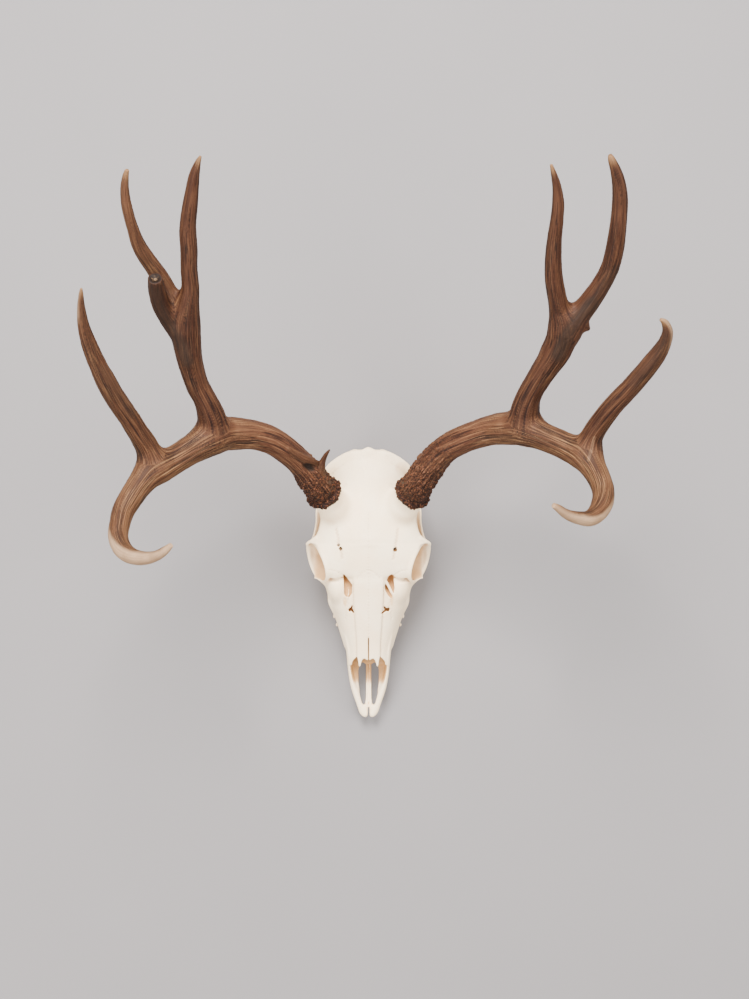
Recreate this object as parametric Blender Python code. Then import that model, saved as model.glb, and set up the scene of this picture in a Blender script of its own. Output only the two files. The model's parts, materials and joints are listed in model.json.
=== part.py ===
"""Mule deer skull with both antlers, without the lower jaw.

The skull lies on its upper cheek teeth with the forehead up. X runs across the head, -Y points to
the nose, and Z is height above the chewing plane. All sizes below are millimetres. Most places in
the skull are given by how far ahead of the back crest they are, which is minus Y.
"""

import math

import bmesh
import bpy
from mathutils import Matrix, Vector

MM = 0.001

# The middle of the whole object's box, in skull millimetres, goes to the world origin.
BOX_MIDDLE = (8.0, -18.1)

# Meshing
BONE_VOXEL = 1.5
HOLLOW_VOXEL = 1.2
ANTLER_VOXEL = 1.8
SKULL_TRIANGLES = 4400
ANTLER_TRIANGLES = 1700
PIECE_GAP = 0.3
PATH_STEPS = 5

# Braincase, as (ahead, half width, bottom, waist, top)
CRANIUM = (
    (2, 17, 52, 66, 82),
    (8, 30, 38, 57, 86),
    (18, 36, 31, 55, 90),
    (32, 37.5, 27, 56, 94),
    (48, 38, 27, 57, 97),
    (64, 36, 27, 57, 99),
    (80, 30, 28, 57, 101),
    (97, 25, 30, 57, 101),
)

# Face from between the eyes to the end of the nose bones, same columns
FACE = (
    (92, 26, 32, 58, 101),
    (106, 30, 26, 48, 98),
    (120, 35, 22, 42, 94),
    (135, 39, 19, 40, 88),
    (150, 40.5, 19, 38, 81.5),
    (163, 39, 19, 36, 76),
    (173, 34.5, 19, 34, 71.5),
    (184, 30.5, 19, 34, 66.5),
    (196, 26.5, 19, 34, 61),
    (208, 23.2, 19, 33, 56),
    (219, 22, 20, 32, 52),
)
SECTION_POWER = 2.3

# Forehead plate, as (ahead, half width, height at the middle, height at the edge)
FOREHEAD = (
    (38, 20, 95, 90),
    (50, 33, 98.5, 91),
    (61, 45, 101, 91),
    (74, 48.5, 102.5, 91),
    (85, 50, 103, 90),
    (92, 57, 103, 87),
    (98, 62.5, 102, 83),
    (101, 57, 101.5, 87),
    (107, 48.5, 100, 91),
    (116, 44.5, 97, 90),
    (126, 42.5, 92.5, 84),
    (131, 40, 90, 79),
)
FOREHEAD_THICKNESS = 6

# Nose bones: a low raised strip, as (ahead, half width, top)
NASALS = (
    (126, 15, 94.5),
    (140, 16, 88.5),
    (160, 15.2, 80),
    (180, 14, 71),
    (200, 12.8, 61.5),
    (214, 12.6, 56),
    (226, 12.2, 51.5),
)
NASAL_THICKNESS = 4.2
NASAL_CROWN = 2.2

# Swept forms of one side of the skull, as (x, ahead, z, radius across, radius up)
CREST = (
    (0, 3.4, 84, 3.4, 4.5),
    (9, 5.2, 84, 3.0, 4.0),
    (17, 6.0, 82, 2.8, 4.0),
    (27, 12, 76, 3.0, 4.0),
    (35, 20, 67, 3.4, 4.0),
    (39, 25, 59, 3.2, 4.0),
)
CHEEK_ROOT = ((34, 27, 54, 6, 6), (41, 40, 52, 6, 6), (49, 54, 50, 5, 6))
CHEEK_ARCH = (
    (48, 53, 49, 5.0, 5.5),
    (52, 64, 50, 2.9, 5.0),
    (52.4, 76, 51, 2.7, 5.0),
    (54.5, 88, 53, 2.9, 6.0),
    (58, 100, 53, 3.0, 7.0),
    (58.5, 112, 51, 3.2, 7.0),
    (55, 123, 48, 4.0, 7.5),
    (47, 133, 47, 5.0, 8.0),
    (40, 144, 44, 6.0, 8.0),
    (35.5, 160, 38, 5.5, 8.0),
)
EYE_BACK_BAR = ((60, 96.5, 85, 3.8, 4.6), (60, 96, 72, 2.8, 4.6), (57, 95, 54, 3.2, 5.4))
NOSE_WALL = (
    (23.5, 192, 36, 3.2, 14.0),
    (21.0, 206, 34.5, 2.8, 12.5),
    (19.9, 219, 32, 2.4, 9.5),
    (19.1, 232, 28, 2.3, 6.6),
    (15.6, 249, 23.5, 3.0, 4.4),
    (10.2, 264, 19.8, 3.6, 3.4),
    (6.2, 274, 17.4, 3.9, 3.0),
    (4.0, 278, 16.8, 3.2, 2.8),
)
PALATE_SHELF = ((15.5, 200, 21, 6.5, 2.2), (14.2, 228, 20.4, 4.8, 2.0), (11.5, 252, 18.6, 3.4, 2.0))
MIDDLE_BAR = (
    (1.4, 198, 21, 1.8, 2.0),
    (1.4, 238, 20, 1.7, 1.7),
    (1.8, 262, 17.8, 1.9, 1.9),
    (3, 275, 16.8, 3, 2.4),
)
TOOTH_RIDGE = (
    (31.0, 105, 24, 6.0, 9),
    (32.6, 114, 24, 8.0, 15),
    (33.6, 126, 25, 8.4, 17),
    (33.6, 140, 26, 8.4, 18),
    (32.4, 156, 26, 8.0, 18),
    (30.0, 170, 26, 7.2, 18),
    (26.8, 182, 26, 6.2, 17),
    (23.8, 193, 27, 5.2, 15),
    (21.5, 204, 29, 4.0, 11),
)
WING = ((14, 74, 38, 3, 6), (14.5, 88, 27, 2.4, 7), (14.5, 98, 19, 2.2, 6), (15.5, 110, 21, 3, 5))
SIDE_SPUR = ((28, 15, 50, 8, 7), (28, 16, 32, 6.8, 5.6), (27, 18, 15, 5.0, 4.2), (26, 20.5, -3, 3.8, 3.2))
SKULL_BASE = ((0, 6, 33, 8, 5), (0, 40, 28, 8.5, 5), (0, 74, 30, 6, 6), (0, 100, 36, 5, 9))

# Round forms, as centre (x, ahead, z) and radii
CONDYLE = ((14, 9.5, 38), (8, 9, 12))
EAR_DRUM = ((20, 38, 29), (8.5, 13, 9.5))
EAR_TUBE = ((34, 36, 45), (7, 5, 5))
TEAR_BONE = ((30.5, 137, 60), (13.5, 22, 21.5))
BROW = ((34, 116, 81.5), (12, 17, 9))

# Eye opening: its middle, its radius, and how the rim leans from front to back and from top to bottom
EYE = (50.8, 115, 70)
EYE_RADIUS = 21.2
EYE_LEAN_AHEAD = 6.5
EYE_LEAN_UP = 7.5
EYE_RIM_RADIUS = 2.5
EYE_RIM_POINTS = 24

# Hollows of one side
EYE_HOLLOW = ((46, 114.5, 70), (27, 19.4, 19.0))
EYE_DEPTH = ((27, 104, 67), (13, 14, 13))
TEAR_PIT = ((45.5, 149, 62), (9.5, 10.5, 7.5))
TEAR_GAP = ((7.3, 128), (7.0, 139), (6.3, 150), (1.9, 151.6), (-0.9, 148.5), (-1.2, 139.5))
TEAR_GAP_X = 18
TEAR_GAP_HEIGHTS = (44, 97)
PALATE_SLOT = (
    (3.4, 212), (9.2, 214), (10.3, 230), (9.8, 245),
    (7.4, 261), (5.2, 268.5), (3.6, 266), (3.2, 240),
)
PALATE_SLOT_HEIGHTS = (6, 44)
NOSE_NOTCHES = ((5.2, 223.8, 2.8), (13.6, 222.6, 2.8))
NOSE_NOTCH_HEIGHTS = (44, 66)
NOTCH_SIDES = 16
HOLLOW_CHOANA = ((0, 104, 26), (10.5, 17, 8))

# Hollows on the middle line
BRAIN_HOLLOW = ((0, 44, 64), (26, 31, 22))
BACK_HOLE_RADIUS = 10
BACK_HOLE = (-14, 30, 48)
NOSE_HOLLOW = (
    (132, 12, 44, 58, 76),
    (145, 19, 28, 44, 73),
    (160, 20, 26, 40, 67.5),
    (180, 18.5, 25, 36, 60),
    (200, 17, 24.5, 34, 52),
    (216, 17, 24, 33, 47.5),
    (232, 17, 24, 33, 47.5),
)

# Slits on the middle line, as (first ahead, last ahead, width, bottom, top)
NOSE_SLIT = (197, 230, 1.3, 44, 70)
TIP_NOTCH = (271.5, 290, 1.4, 5, 30)

# Where the bone is cut flat over the teeth and under the two spurs, as ranges of x and ahead
GUM_CUT = ((13, 48), (104, 204))
FOOT_CUT = ((16, 36), (4, 32))
CUT_DEPTH = 15

# Antler stalks of the skull and the plane where each antler's burr sits on its stalk
STALK = ((24, 66, 84, 11), (30, 63, 90, 15), (35, 58.5, 96, 16.5), (39.5, 53, 103.5, 15.8), (44, 46, 117, 15))
BURR_MIDDLE = (43, 48, 112)
BURR_NORMAL = (0.38, 0.53, 0.76)
BURR_RADIUS = 14.6
BURR_LUMPS = 16
BURR_LUMP_RADIUS = 3.4
BURR_LUMP_LIFTS = (3.0, 4.2)
STALK_END_CUT = (22, 0, 30)
BURR_FOOT_CUT = (40, -30)

# Antler limbs, as (x, y, z, radius), with x away from the head
LEFT_LIMBS = {
    "beam": (
        (41, -51, 108, 15.0),
        (45, -46, 116, 15.0),
        (55, -32, 137, 14.5),
        (64, -20, 150, 13.3),
        (76, -8, 164, 13.0),
        (93, 4, 182, 13.6),
        (109, 9, 196, 14.4),
        (124, 10, 209, 15.6),
        (140, 9, 221, 16.5),
        (154, 2, 232, 16.0),
    ),
    "front": (
        (154, 2, 232, 16.0),
        (167, -6, 241, 15.0),
        (180, -14, 250, 15.0),
        (193, -22, 258, 15.0),
        (204, -30, 264, 13.8),
        (212, -41, 271, 12.0),
        (219, -53, 279, 11.3),
        (224, -64, 287, 10.5),
        (226, -75, 296, 9.6),
        (226, -87, 306, 9.2),
        (221, -97, 316, 8.6),
        (212, -103, 326, 7.6),
        (200, -105, 336, 6.2),
        (188, -103, 345, 4.8),
        (179, -98, 352, 3.3),
        (173, -93, 357, 1.3),
    ),
    "front_tine": (
        (200, -18, 262, 12.0),
        (204, -4, 272, 11.0),
        (210, 8, 285, 9.9),
        (218, 23, 301, 9.5),
        (226, 37, 317, 9.5),
        (233, 52, 333, 9.2),
        (239, 67, 348, 8.1),
        (244, 83, 363, 7.0),
        (247, 99, 378, 5.3),
        (247, 113, 391, 3.5),
        (246, 123, 399, 2.1),
        (245, 128, 404, 1.1),
    ),
    "rear": (
        (147, 9, 226, 16.0),
        (147, 24, 238, 13.6),
        (151, 38, 250, 11.2),
        (158, 53, 261, 10.9),
        (162, 67, 272, 11.2),
        (165, 82, 284, 11.9),
        (166, 97, 295, 12.4),
        (165, 112, 306, 11.8),
        (162, 124, 316, 9.9),
        (159, 137, 325, 8.3),
        (159, 152, 336, 7.7),
        (158, 168, 348, 7.7),
        (158, 185, 360, 7.5),
        (155, 202, 372, 6.9),
        (151, 216, 382, 5.3),
        (148, 227, 390, 3.5),
        (145, 237, 396, 1.9),
        (143, 242, 400, 0.9),
    ),
    "rear_outer": (
        (168, 106, 298, 10.5),
        (175, 126, 310, 8.4),
        (181, 142, 320, 7.3),
        (189, 155, 332, 6.6),
        (199, 170, 347, 5.8),
        (206, 185, 362, 5.2),
        (209, 201, 375, 4.5),
        (210, 215, 384, 3.3),
        (209, 225, 390, 2.2),
        (207, 232, 395, 1.0),
    ),
    "stub": (
        (170, 86, 287, 8.5),
        (179, 108, 304, 9.1),
        (186, 122, 321, 8.4),
        (188, 132, 337, 7.6),
        (188, 140, 352, 6.4),
    ),
    "spike": ((60, -33, 138, 7.0), (50, -19, 147, 5.0), (44, -10, 156, 3.2), (39, -4, 162, 1.3)),
}
RIGHT_LIMBS = {
    "beam": (
        (41, -51, 108, 15.0),
        (45, -46, 116, 15.0),
        (49, -38, 129, 14.9),
        (56, -27, 141, 14.4),
        (64, -16, 152, 14.0),
        (75, -4, 166, 13.7),
        (89, 4, 179, 13.6),
        (105, 10, 192, 13.7),
        (120, 14, 204, 14.8),
        (133, 15, 215, 16.0),
        (146, 15, 224, 16.5),
    ),
    "front": (
        (146, 15, 224, 16.5),
        (160, 9, 233, 14.1),
        (175, 2, 242, 12.9),
        (189, -5, 251, 13.1),
        (200, -12, 258, 13.4),
        (208, -22, 265, 12.2),
        (213, -33, 274, 10.9),
        (216, -45, 284, 10.3),
        (214, -56, 294, 10.0),
        (208, -65, 304, 8.8),
        (199, -70, 314, 7.2),
        (188, -69, 323, 5.8),
        (178, -66, 332, 4.3),
        (170, -61, 340, 2.7),
        (165, -58, 345, 1.2),
    ),
    "front_tine": (
        (205, -7, 258, 11.2),
        (208, 7, 268, 10.2),
        (215, 20, 280, 9.7),
        (225, 34, 295, 9.3),
        (237, 48, 311, 9.0),
        (248, 62, 327, 8.7),
        (257, 75, 341, 7.8),
        (262, 85, 352, 6.2),
        (263, 94, 361, 4.4),
        (261, 101, 367, 2.8),
        (258, 104, 371, 1.4),
    ),
    "rear": (
        (148, 18, 226, 16.0),
        (148, 31, 236, 13.7),
        (149, 44, 246, 11.5),
        (155, 58, 257, 10.9),
        (162, 71, 268, 11.1),
        (169, 85, 279, 11.8),
        (176, 98, 290, 12.2),
        (178, 110, 300, 11.4),
        (174, 119, 307, 10.0),
        (171, 128, 315, 8.8),
        (167, 144, 328, 8.3),
        (165, 160, 341, 7.6),
        (165, 178, 355, 6.6),
        (166, 194, 368, 5.8),
        (166, 206, 377, 5.3),
        (164, 218, 386, 4.0),
        (161, 227, 393, 2.7),
        (158, 235, 399, 1.2),
    ),
    "rear_outer": (
        (178, 104, 295, 11.0),
        (187, 118, 305, 9.6),
        (197, 128, 313, 8.3),
        (208, 140, 323, 8.2),
        (216, 154, 335, 8.4),
        (219, 170, 348, 8.3),
        (220, 187, 362, 7.6),
        (220, 205, 375, 7.0),
        (218, 219, 386, 6.2),
        (214, 230, 395, 4.8),
        (210, 238, 401, 3.4),
        (208, 242, 404, 1.8),
    ),
    "kicker": ((186, 110, 297, 8.0), (196, 107, 299, 4.6), (201, 102, 298, 1.8)),
}

# Where each antler is parted at its forks, as (x, y, z) on the cut and its half size
LEFT_CUTS = {
    "front_branch": ((162, -3, 237), (-13, 8, -9), 30),
    "front_tine": ((206, 0, 277), (-5, -14, -11), 18),
    "rear_branch": ((148, 30, 243), (0, -14, -11), 22),
    "rear_outer_tine": ((183, 145, 322), (-14, -29, -22), 11),
}
RIGHT_CUTS = {
    "front_branch": ((158, 10, 231), (-14, 6, -8), 30),
    "front_tine": ((211, 13, 273), (-5, -13, -11), 18),
    "rear_branch": ((148, 37, 241), (0, -13, -10), 22),
    "rear_outer_tine": ((194, 125, 311), (-9, -11, -8), 16),
}

# Cheek teeth, as name, ahead, distance from the middle, length along the jaw, width
TEETH = (
    ("premolar_2", 191.0, 24.8, 10.4, 9.2),
    ("premolar_3", 180.4, 28.2, 10.8, 11.0),
    ("premolar_4", 169.4, 30.8, 11.0, 12.2),
    ("molar_1", 156.4, 32.8, 14.2, 13.6),
    ("molar_2", 140.6, 33.8, 16.2, 14.8),
    ("molar_3", 123.6, 33.6, 16.6, 14.6),
)
TOOTH_TURNS = (20, 15, 10, 5, 1, -3)
TOOTH_TOP = 10.7
GUM_LINE = 11.0
CROWN_FLARE = 0.90
CROWN_WAIST = 0.6
PREMOLAR_OUTLINE = (
    (-0.46, -0.12), (-0.30, -0.42), (0.0, -0.5), (0.30, -0.42), (0.46, -0.12),
    (0.48, 0.40), (0.28, 0.36), (0.02, 0.5), (-0.22, 0.38), (-0.48, 0.42),
)
MOLAR_OUTLINE = (
    (-0.47, -0.18), (-0.30, -0.5), (-0.12, -0.42), (0.0, -0.24), (0.12, -0.42), (0.30, -0.48),
    (0.46, -0.18), (0.48, 0.44), (0.25, 0.36), (0.02, 0.5), (-0.24, 0.38), (-0.48, 0.5),
)

BONE_COLOUR = (0.80, 0.72, 0.62)
ENAMEL_COLOUR = (0.72, 0.62, 0.48)
ANTLER_COLOUR = (0.16, 0.085, 0.045)
SMOOTH_SHADING_ANGLE = 50

UP = Vector((0, 0, 1))
BACK = Vector((0, 1, 0))


def clear_scene():
    for item in list(bpy.data.objects):
        bpy.data.objects.remove(item, do_unlink=True)


def material(name, colour, roughness):
    finish = bpy.data.materials.new(name)
    finish.use_nodes = True
    shader = finish.node_tree.nodes["Principled BSDF"]
    shader.inputs["Base Color"].default_value = (*colour, 1)
    shader.inputs["Roughness"].default_value = roughness
    shader.inputs["Metallic"].default_value = 0
    return finish


def smoothed(points, steps=PATH_STEPS):
    """The same rows with more rows between them, along a curve through every row."""
    rows = []
    for i in range(len(points) - 1):
        before = points[max(i - 1, 0)]
        start, end = points[i], points[i + 1]
        after = points[min(i + 2, len(points) - 1)]
        for step in range(steps):
            u = step / steps
            rows.append(tuple(
                0.5 * (2 * b + (c - a) * u + (2 * a - 5 * b + 4 * c - d) * u * u
                       + (3 * b - a - 3 * c + d) * u ** 3)
                for a, b, c, d in zip(before, start, end, after)
            ))
    rows.append(tuple(points[-1]))
    return rows


def skin(shape, rings):
    """Joins rings of points, given in millimetres, into a closed tube with flat ends."""
    made = [[shape.verts.new(Vector(point) * MM) for point in ring] for ring in rings]
    count = len(made[0])
    for near, far in zip(made, made[1:]):
        for i in range(count):
            j = (i + 1) % count
            shape.faces.new((near[i], near[j], far[j], far[i]))
    shape.faces.new(reversed(made[0]))
    shape.faces.new(made[-1])


def sweep(shape, rows, up=UP, sides=14):
    """A tube along rows of (x, y, z, radius across, radius up)."""
    path = smoothed(rows)
    middles = [Vector(row[:3]) for row in path]
    rings = []
    for i, middle in enumerate(middles):
        along = (middles[min(i + 1, len(path) - 1)] - middles[max(i - 1, 0)]).normalized()
        across = along.cross(up).normalized()
        lift = across.cross(along)
        wide, tall = path[i][3], path[i][-1]
        turns = [2 * math.pi * k / sides for k in range(sides)]
        rings.append([
            middle + across * (wide * math.cos(turn)) + lift * (tall * math.sin(turn))
            for turn in turns
        ])
    skin(shape, rings)


def loft(shape, rows, sides=32, power=SECTION_POWER):
    """A body along the head from rows of (ahead, half width, bottom, waist, top)."""
    rings = []
    for ahead, half_width, bottom, waist, top in smoothed(rows):
        ring = []
        for k in range(sides):
            turn = 2 * math.pi * k / sides
            c, s = math.cos(turn), math.sin(turn)
            tall = top - waist if s > 0 else waist - bottom
            x = half_width * math.copysign(abs(c) ** (2 / power), c)
            z = waist + tall * math.copysign(abs(s) ** (2 / power), s)
            ring.append((x, -ahead, z))
        rings.append(ring)
    skin(shape, rings)


def plate(shape, rows, thickness, across=17):
    """A crowned plate from rows of (ahead, half width, middle height, edge height)."""
    rings = []
    for ahead, half_width, middle, edge in smoothed(rows):
        upper = []
        for k in range(across):
            u = 1 - 2 * k / (across - 1)
            upper.append((half_width * u, -ahead, edge + (middle - edge) * (1 - u * u)))
        lower = [(x, y, z - thickness) for x, y, z in reversed(upper)]
        rings.append(upper + lower)
    skin(shape, rings)


def blob(shape, middle, radii, mirror=1, around=24, down=14):
    """An egg shape at (x, ahead, z)."""
    x, ahead, z = middle
    placed = Matrix.Translation(Vector((x * mirror, -ahead, z)) * MM)
    sized = Matrix.Diagonal((*(Vector(radii) * MM), 1))
    bmesh.ops.create_uvsphere(shape, u_segments=around, v_segments=down, radius=1, matrix=placed @ sized)


def prism(shape, outline, bottom, top):
    """An upright solid over an outline of (x, ahead)."""
    skin(shape, [[(x, -ahead, z) for x, ahead in outline] for z in (bottom, top)])


def box(shape, x_range, ahead_range, z_range):
    (x0, x1), (a0, a1), (z0, z1) = x_range, ahead_range, z_range
    prism(shape, ((x0, a1), (x1, a1), (x1, a0), (x0, a0)), z0, z1)


def sided(rows, mirror):
    """Rows of (x, ahead, z, ...) as rows of (x, y, z, ...) on the chosen side."""
    return [(row[0] * mirror, -row[1], *row[2:]) for row in rows]


def object_of(shape, name, finish=None):
    bmesh.ops.recalc_face_normals(shape, faces=shape.faces)
    mesh = bpy.data.meshes.new(name)
    shape.to_mesh(mesh)
    shape.free()
    made = bpy.data.objects.new(name, mesh)
    bpy.context.scene.collection.objects.link(made)
    if finish:
        mesh.materials.append(finish)
    return made


def as_cutter(item):
    item.hide_render = True
    item.display_type = "WIRE"
    return item


def fuse(item, voxel, smoothing):
    """One skin over all the overlapping closed shapes of an object."""
    skinned = item.modifiers.new("Fuse", "REMESH")
    skinned.mode = "VOXEL"
    skinned.voxel_size = voxel * MM
    if smoothing:
        soft = item.modifiers.new("Soften", "SMOOTH")
        soft.factor = 0.5
        soft.iterations = smoothing


def cut(item, cutter):
    step = item.modifiers.new("Cut " + cutter.name, "BOOLEAN")
    step.operation = "DIFFERENCE"
    step.solver = "EXACT"
    step.object = cutter


def thin_out(item, triangles):
    """Fewer faces, with the same form."""
    now = sum(len(face.vertices) - 2 for face in evaluated_mesh(item).polygons)
    fewer = item.modifiers.new("Fewer faces", "DECIMATE")
    fewer.ratio = min(1, triangles / now)


def evaluated_mesh(item):
    bpy.context.view_layer.update()
    graph = bpy.context.evaluated_depsgraph_get()
    return bpy.data.meshes.new_from_object(item.evaluated_get(graph), depsgraph=graph)


def settle(item):
    """Applies an object's modifiers."""
    mesh = evaluated_mesh(item)
    item.modifiers.clear()
    item.data = mesh


def plane_turn(normal):
    return UP.rotation_difference(Vector(normal)).to_matrix().to_4x4()


def slab(name, middle, normal, half_size, low, high):
    """A flat cutter across a limb, from low to high millimetres along the normal."""
    shape = bmesh.new()
    sides = ((-half_size, half_size),) * 2
    box(shape, sides[0], sides[1], (low, high))
    bmesh.ops.transform(shape, matrix=plane_turn(normal), verts=shape.verts)
    bmesh.ops.translate(shape, vec=Vector(middle) * MM, verts=shape.verts)
    return as_cutter(object_of(shape, name))


def burr_place(mirror):
    x, ahead, z = BURR_MIDDLE
    nx, ny, nz = BURR_NORMAL
    return Vector((x * mirror, -ahead, z)), Vector((nx * mirror, ny, nz)).normalized()


def eye_rim(shape, mirror):
    rows = []
    for k in range(EYE_RIM_POINTS + 1):
        turn = 2 * math.pi * k / EYE_RIM_POINTS
        c, s = math.cos(turn), math.sin(turn)
        x = EYE[0] - EYE_LEAN_AHEAD * c - EYE_LEAN_UP * s
        rows.append((x, EYE[1] + EYE_RADIUS * c, EYE[2] + EYE_RADIUS * s, EYE_RIM_RADIUS, EYE_RIM_RADIUS))
    sweep(shape, sided(rows, mirror), up=Vector((1, 0, 0)), sides=10)


def skull_forms():
    shape = bmesh.new()
    loft(shape, CRANIUM)
    loft(shape, FACE)
    plate(shape, FOREHEAD, FOREHEAD_THICKNESS)
    plate(shape, [(a, w, top, top - NASAL_CROWN) for a, w, top in NASALS], NASAL_THICKNESS)
    sweep(shape, sided(SKULL_BASE, 1))
    for mirror in (-1, 1):
        for rows in (CREST, CHEEK_ROOT, CHEEK_ARCH, NOSE_WALL, PALATE_SHELF, MIDDLE_BAR, TOOTH_RIDGE, WING):
            sweep(shape, sided(rows, mirror))
        for rows in (EYE_BACK_BAR, SIDE_SPUR, STALK):
            sweep(shape, sided(rows, mirror), up=BACK)
        for middle, radii in (CONDYLE, EAR_DRUM, EAR_TUBE, TEAR_BONE, BROW):
            blob(shape, middle, radii, mirror)
        eye_rim(shape, mirror)
    return shape


def skull_hollows():
    shape = bmesh.new()
    blob(shape, *BRAIN_HOLLOW)
    blob(shape, *HOLLOW_CHOANA)
    start, end, height = BACK_HOLE
    sweep(shape, sided(((0, start, height, BACK_HOLE_RADIUS, BACK_HOLE_RADIUS),
                        (0, end, height, BACK_HOLE_RADIUS, BACK_HOLE_RADIUS)), 1), sides=20)
    loft(shape, NOSE_HOLLOW)
    for first, last, width, bottom, top in (NOSE_SLIT, TIP_NOTCH):
        box(shape, (-width / 2, width / 2), (first, last), (bottom, top))
    for mirror in (-1, 1):
        for middle, radii in (EYE_HOLLOW, EYE_DEPTH, TEAR_PIT):
            blob(shape, middle, radii, mirror)
        prism(shape, [((x + TEAR_GAP_X) * mirror, ahead) for x, ahead in TEAR_GAP], *TEAR_GAP_HEIGHTS)
        prism(shape, [(x * mirror, ahead) for x, ahead in PALATE_SLOT], *PALATE_SLOT_HEIGHTS)
        for x, ahead, radius in NOSE_NOTCHES:
            turns = [2 * math.pi * k / NOTCH_SIDES for k in range(NOTCH_SIDES)]
            ring = [(x * mirror + radius * math.cos(t), ahead + radius * math.sin(t)) for t in turns]
            prism(shape, ring, *NOSE_NOTCH_HEIGHTS)
    return shape


def flat_cuts():
    """Flat faces where the teeth sit, where the spurs stand, and under the burrs."""
    shape = bmesh.new()
    for mirror in (-1, 1):
        for (sides, ahead), top in ((GUM_CUT, GUM_LINE), (FOOT_CUT, 0)):
            box(shape, sorted(side * mirror for side in sides), ahead, (top - CUT_DEPTH, top))
    return as_cutter(object_of(shape, "flat_cuts"))


def keep_main_body(item):
    """Drops the slivers that thinning out can leave beside the main body."""
    bodies = components(item.data)
    main_body = max(bodies, key=lambda body: len(body.verts))
    main_body.to_mesh(item.data)
    for body in bodies:
        body.free()


def build_skull(finish):
    skull = object_of(skull_forms(), "skull", finish)
    fuse(skull, BONE_VOXEL, 2)
    settle(skull)
    hollows = as_cutter(object_of(skull_hollows(), "skull_hollows"))
    fuse(hollows, HOLLOW_VOXEL, 0)
    settle(hollows)
    cut(skull, hollows)
    fuse(skull, HOLLOW_VOXEL, 2)
    thin_out(skull, SKULL_TRIANGLES)
    cut(skull, flat_cuts())
    for mirror, side in ((-1, "left"), (1, "right")):
        middle, normal = burr_place(mirror)
        cut(skull, slab(side + "_stalk_end", middle, normal, *STALK_END_CUT))
    settle(skull)
    keep_main_body(skull)
    skull.data.materials.clear()
    skull.data.materials.append(finish)
    return skull


def burr(shape, mirror):
    middle, normal = burr_place(mirror)
    turn = plane_turn(normal)
    for k in range(BURR_LUMPS):
        angle = 2 * math.pi * k / BURR_LUMPS
        lift = BURR_LUMP_LIFTS[k % 2]
        place = Vector((BURR_RADIUS * math.cos(angle), BURR_RADIUS * math.sin(angle), lift))
        at = middle + turn.to_3x3() @ place
        matrix = Matrix.Translation(at * MM) @ turn @ Matrix.Scale(BURR_LUMP_RADIUS * MM, 4)
        bmesh.ops.create_icosphere(shape, subdivisions=2, radius=1, matrix=matrix)


def components(mesh):
    """The separate bodies of a mesh, each as its own bmesh."""
    whole = bmesh.new()
    whole.from_mesh(mesh)
    whole.verts.ensure_lookup_table()
    group = [-1] * len(whole.verts)
    count = 0
    for seed in whole.verts:
        if group[seed.index] >= 0:
            continue
        group[seed.index] = count
        waiting = [seed]
        while waiting:
            for edge in waiting.pop().link_edges:
                for other in edge.verts:
                    if group[other.index] < 0:
                        group[other.index] = count
                        waiting.append(other)
        count += 1
    bodies = []
    for number in range(count):
        body = whole.copy()
        body.verts.ensure_lookup_table()
        strangers = [vert for vert in body.verts if group[vert.index] != number]
        bmesh.ops.delete(body, geom=strangers, context="VERTS")
        bodies.append(body)
    whole.free()
    return bodies


def nearest_body(bodies, place):
    """The body that reaches closest to a place."""
    return min(bodies, key=lambda body: min((vert.co - place).length for vert in body.verts))


def build_antler(side, mirror, limbs, cuts, finish):
    shape = bmesh.new()
    for rows in limbs.values():
        sweep(shape, [(x * mirror, y, z, radius, radius) for x, y, z, radius in rows], sides=16)
    burr(shape, mirror)
    antler = object_of(shape, side + "_antler_whole")
    fuse(antler, ANTLER_VOXEL, 3)
    thin_out(antler, ANTLER_TRIANGLES)
    middle, normal = burr_place(mirror)
    cutters = [slab(side + "_burr_foot", middle, normal, *BURR_FOOT_CUT, PIECE_GAP)]
    for name, (place, toward, half_size) in cuts.items():
        x, y, z = place
        direction = Vector((toward[0] * mirror, toward[1], toward[2]))
        cutters.append(slab(side + "_" + name + "_cut", (x * mirror, y, z), direction,
                            half_size, -PIECE_GAP / 2, PIECE_GAP / 2))
    for cutter in cutters:
        cut(antler, cutter)
    settle(antler)
    bodies = components(antler.data)
    ends = {
        "beam": limbs["beam"][2],
        "front_branch": limbs["front"][-1],
        "front_tine": limbs["front_tine"][-1],
        "rear_branch": limbs["rear"][-1],
        "rear_outer_tine": limbs["rear_outer"][-1],
    }
    for name, (x, y, z, _) in ends.items():
        body = nearest_body(bodies, Vector((x * mirror, y, z)) * MM)
        object_of(body.copy(), side + "_antler_" + name, finish)
    for body in bodies:
        body.free()
    bpy.data.objects.remove(antler, do_unlink=True)


def build_tooth(name, mirror, ahead, out, length, width, turn_degrees, outline, finish):
    shape = bmesh.new()
    turn = math.radians(turn_degrees)
    rings = []
    for z, share in ((0, 1.0), (TOOTH_TOP * CROWN_WAIST, 1.0), (TOOTH_TOP, CROWN_FLARE)):
        ring = []
        for u, v in outline:
            along, across = u * length * share, v * width * share
            x = out + across * math.cos(turn) - along * math.sin(turn)
            y = -ahead - across * math.sin(turn) - along * math.cos(turn)
            ring.append((x * mirror, y, z))
        rings.append(ring)
    skin(shape, rings)
    return object_of(shape, name, finish)


def build_teeth(finish):
    for mirror, side in ((-1, "left"), (1, "right")):
        for (name, ahead, out, length, width), turn in zip(TEETH, TOOTH_TURNS):
            outline = MOLAR_OUTLINE if name.startswith("molar") else PREMOLAR_OUTLINE
            build_tooth(f"{side}_{name}", mirror, ahead, out, length, width, turn, outline, finish)


def place_in_frame():
    """Puts everything under one empty, so that the middle of the box is at the world origin."""
    frame = bpy.data.objects.new("skull_frame", None)
    bpy.context.scene.collection.objects.link(frame)
    frame.location = (-BOX_MIDDLE[0] * MM, -BOX_MIDDLE[1] * MM, 0)
    for item in bpy.data.objects:
        if item != frame:
            item.parent = frame


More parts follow.
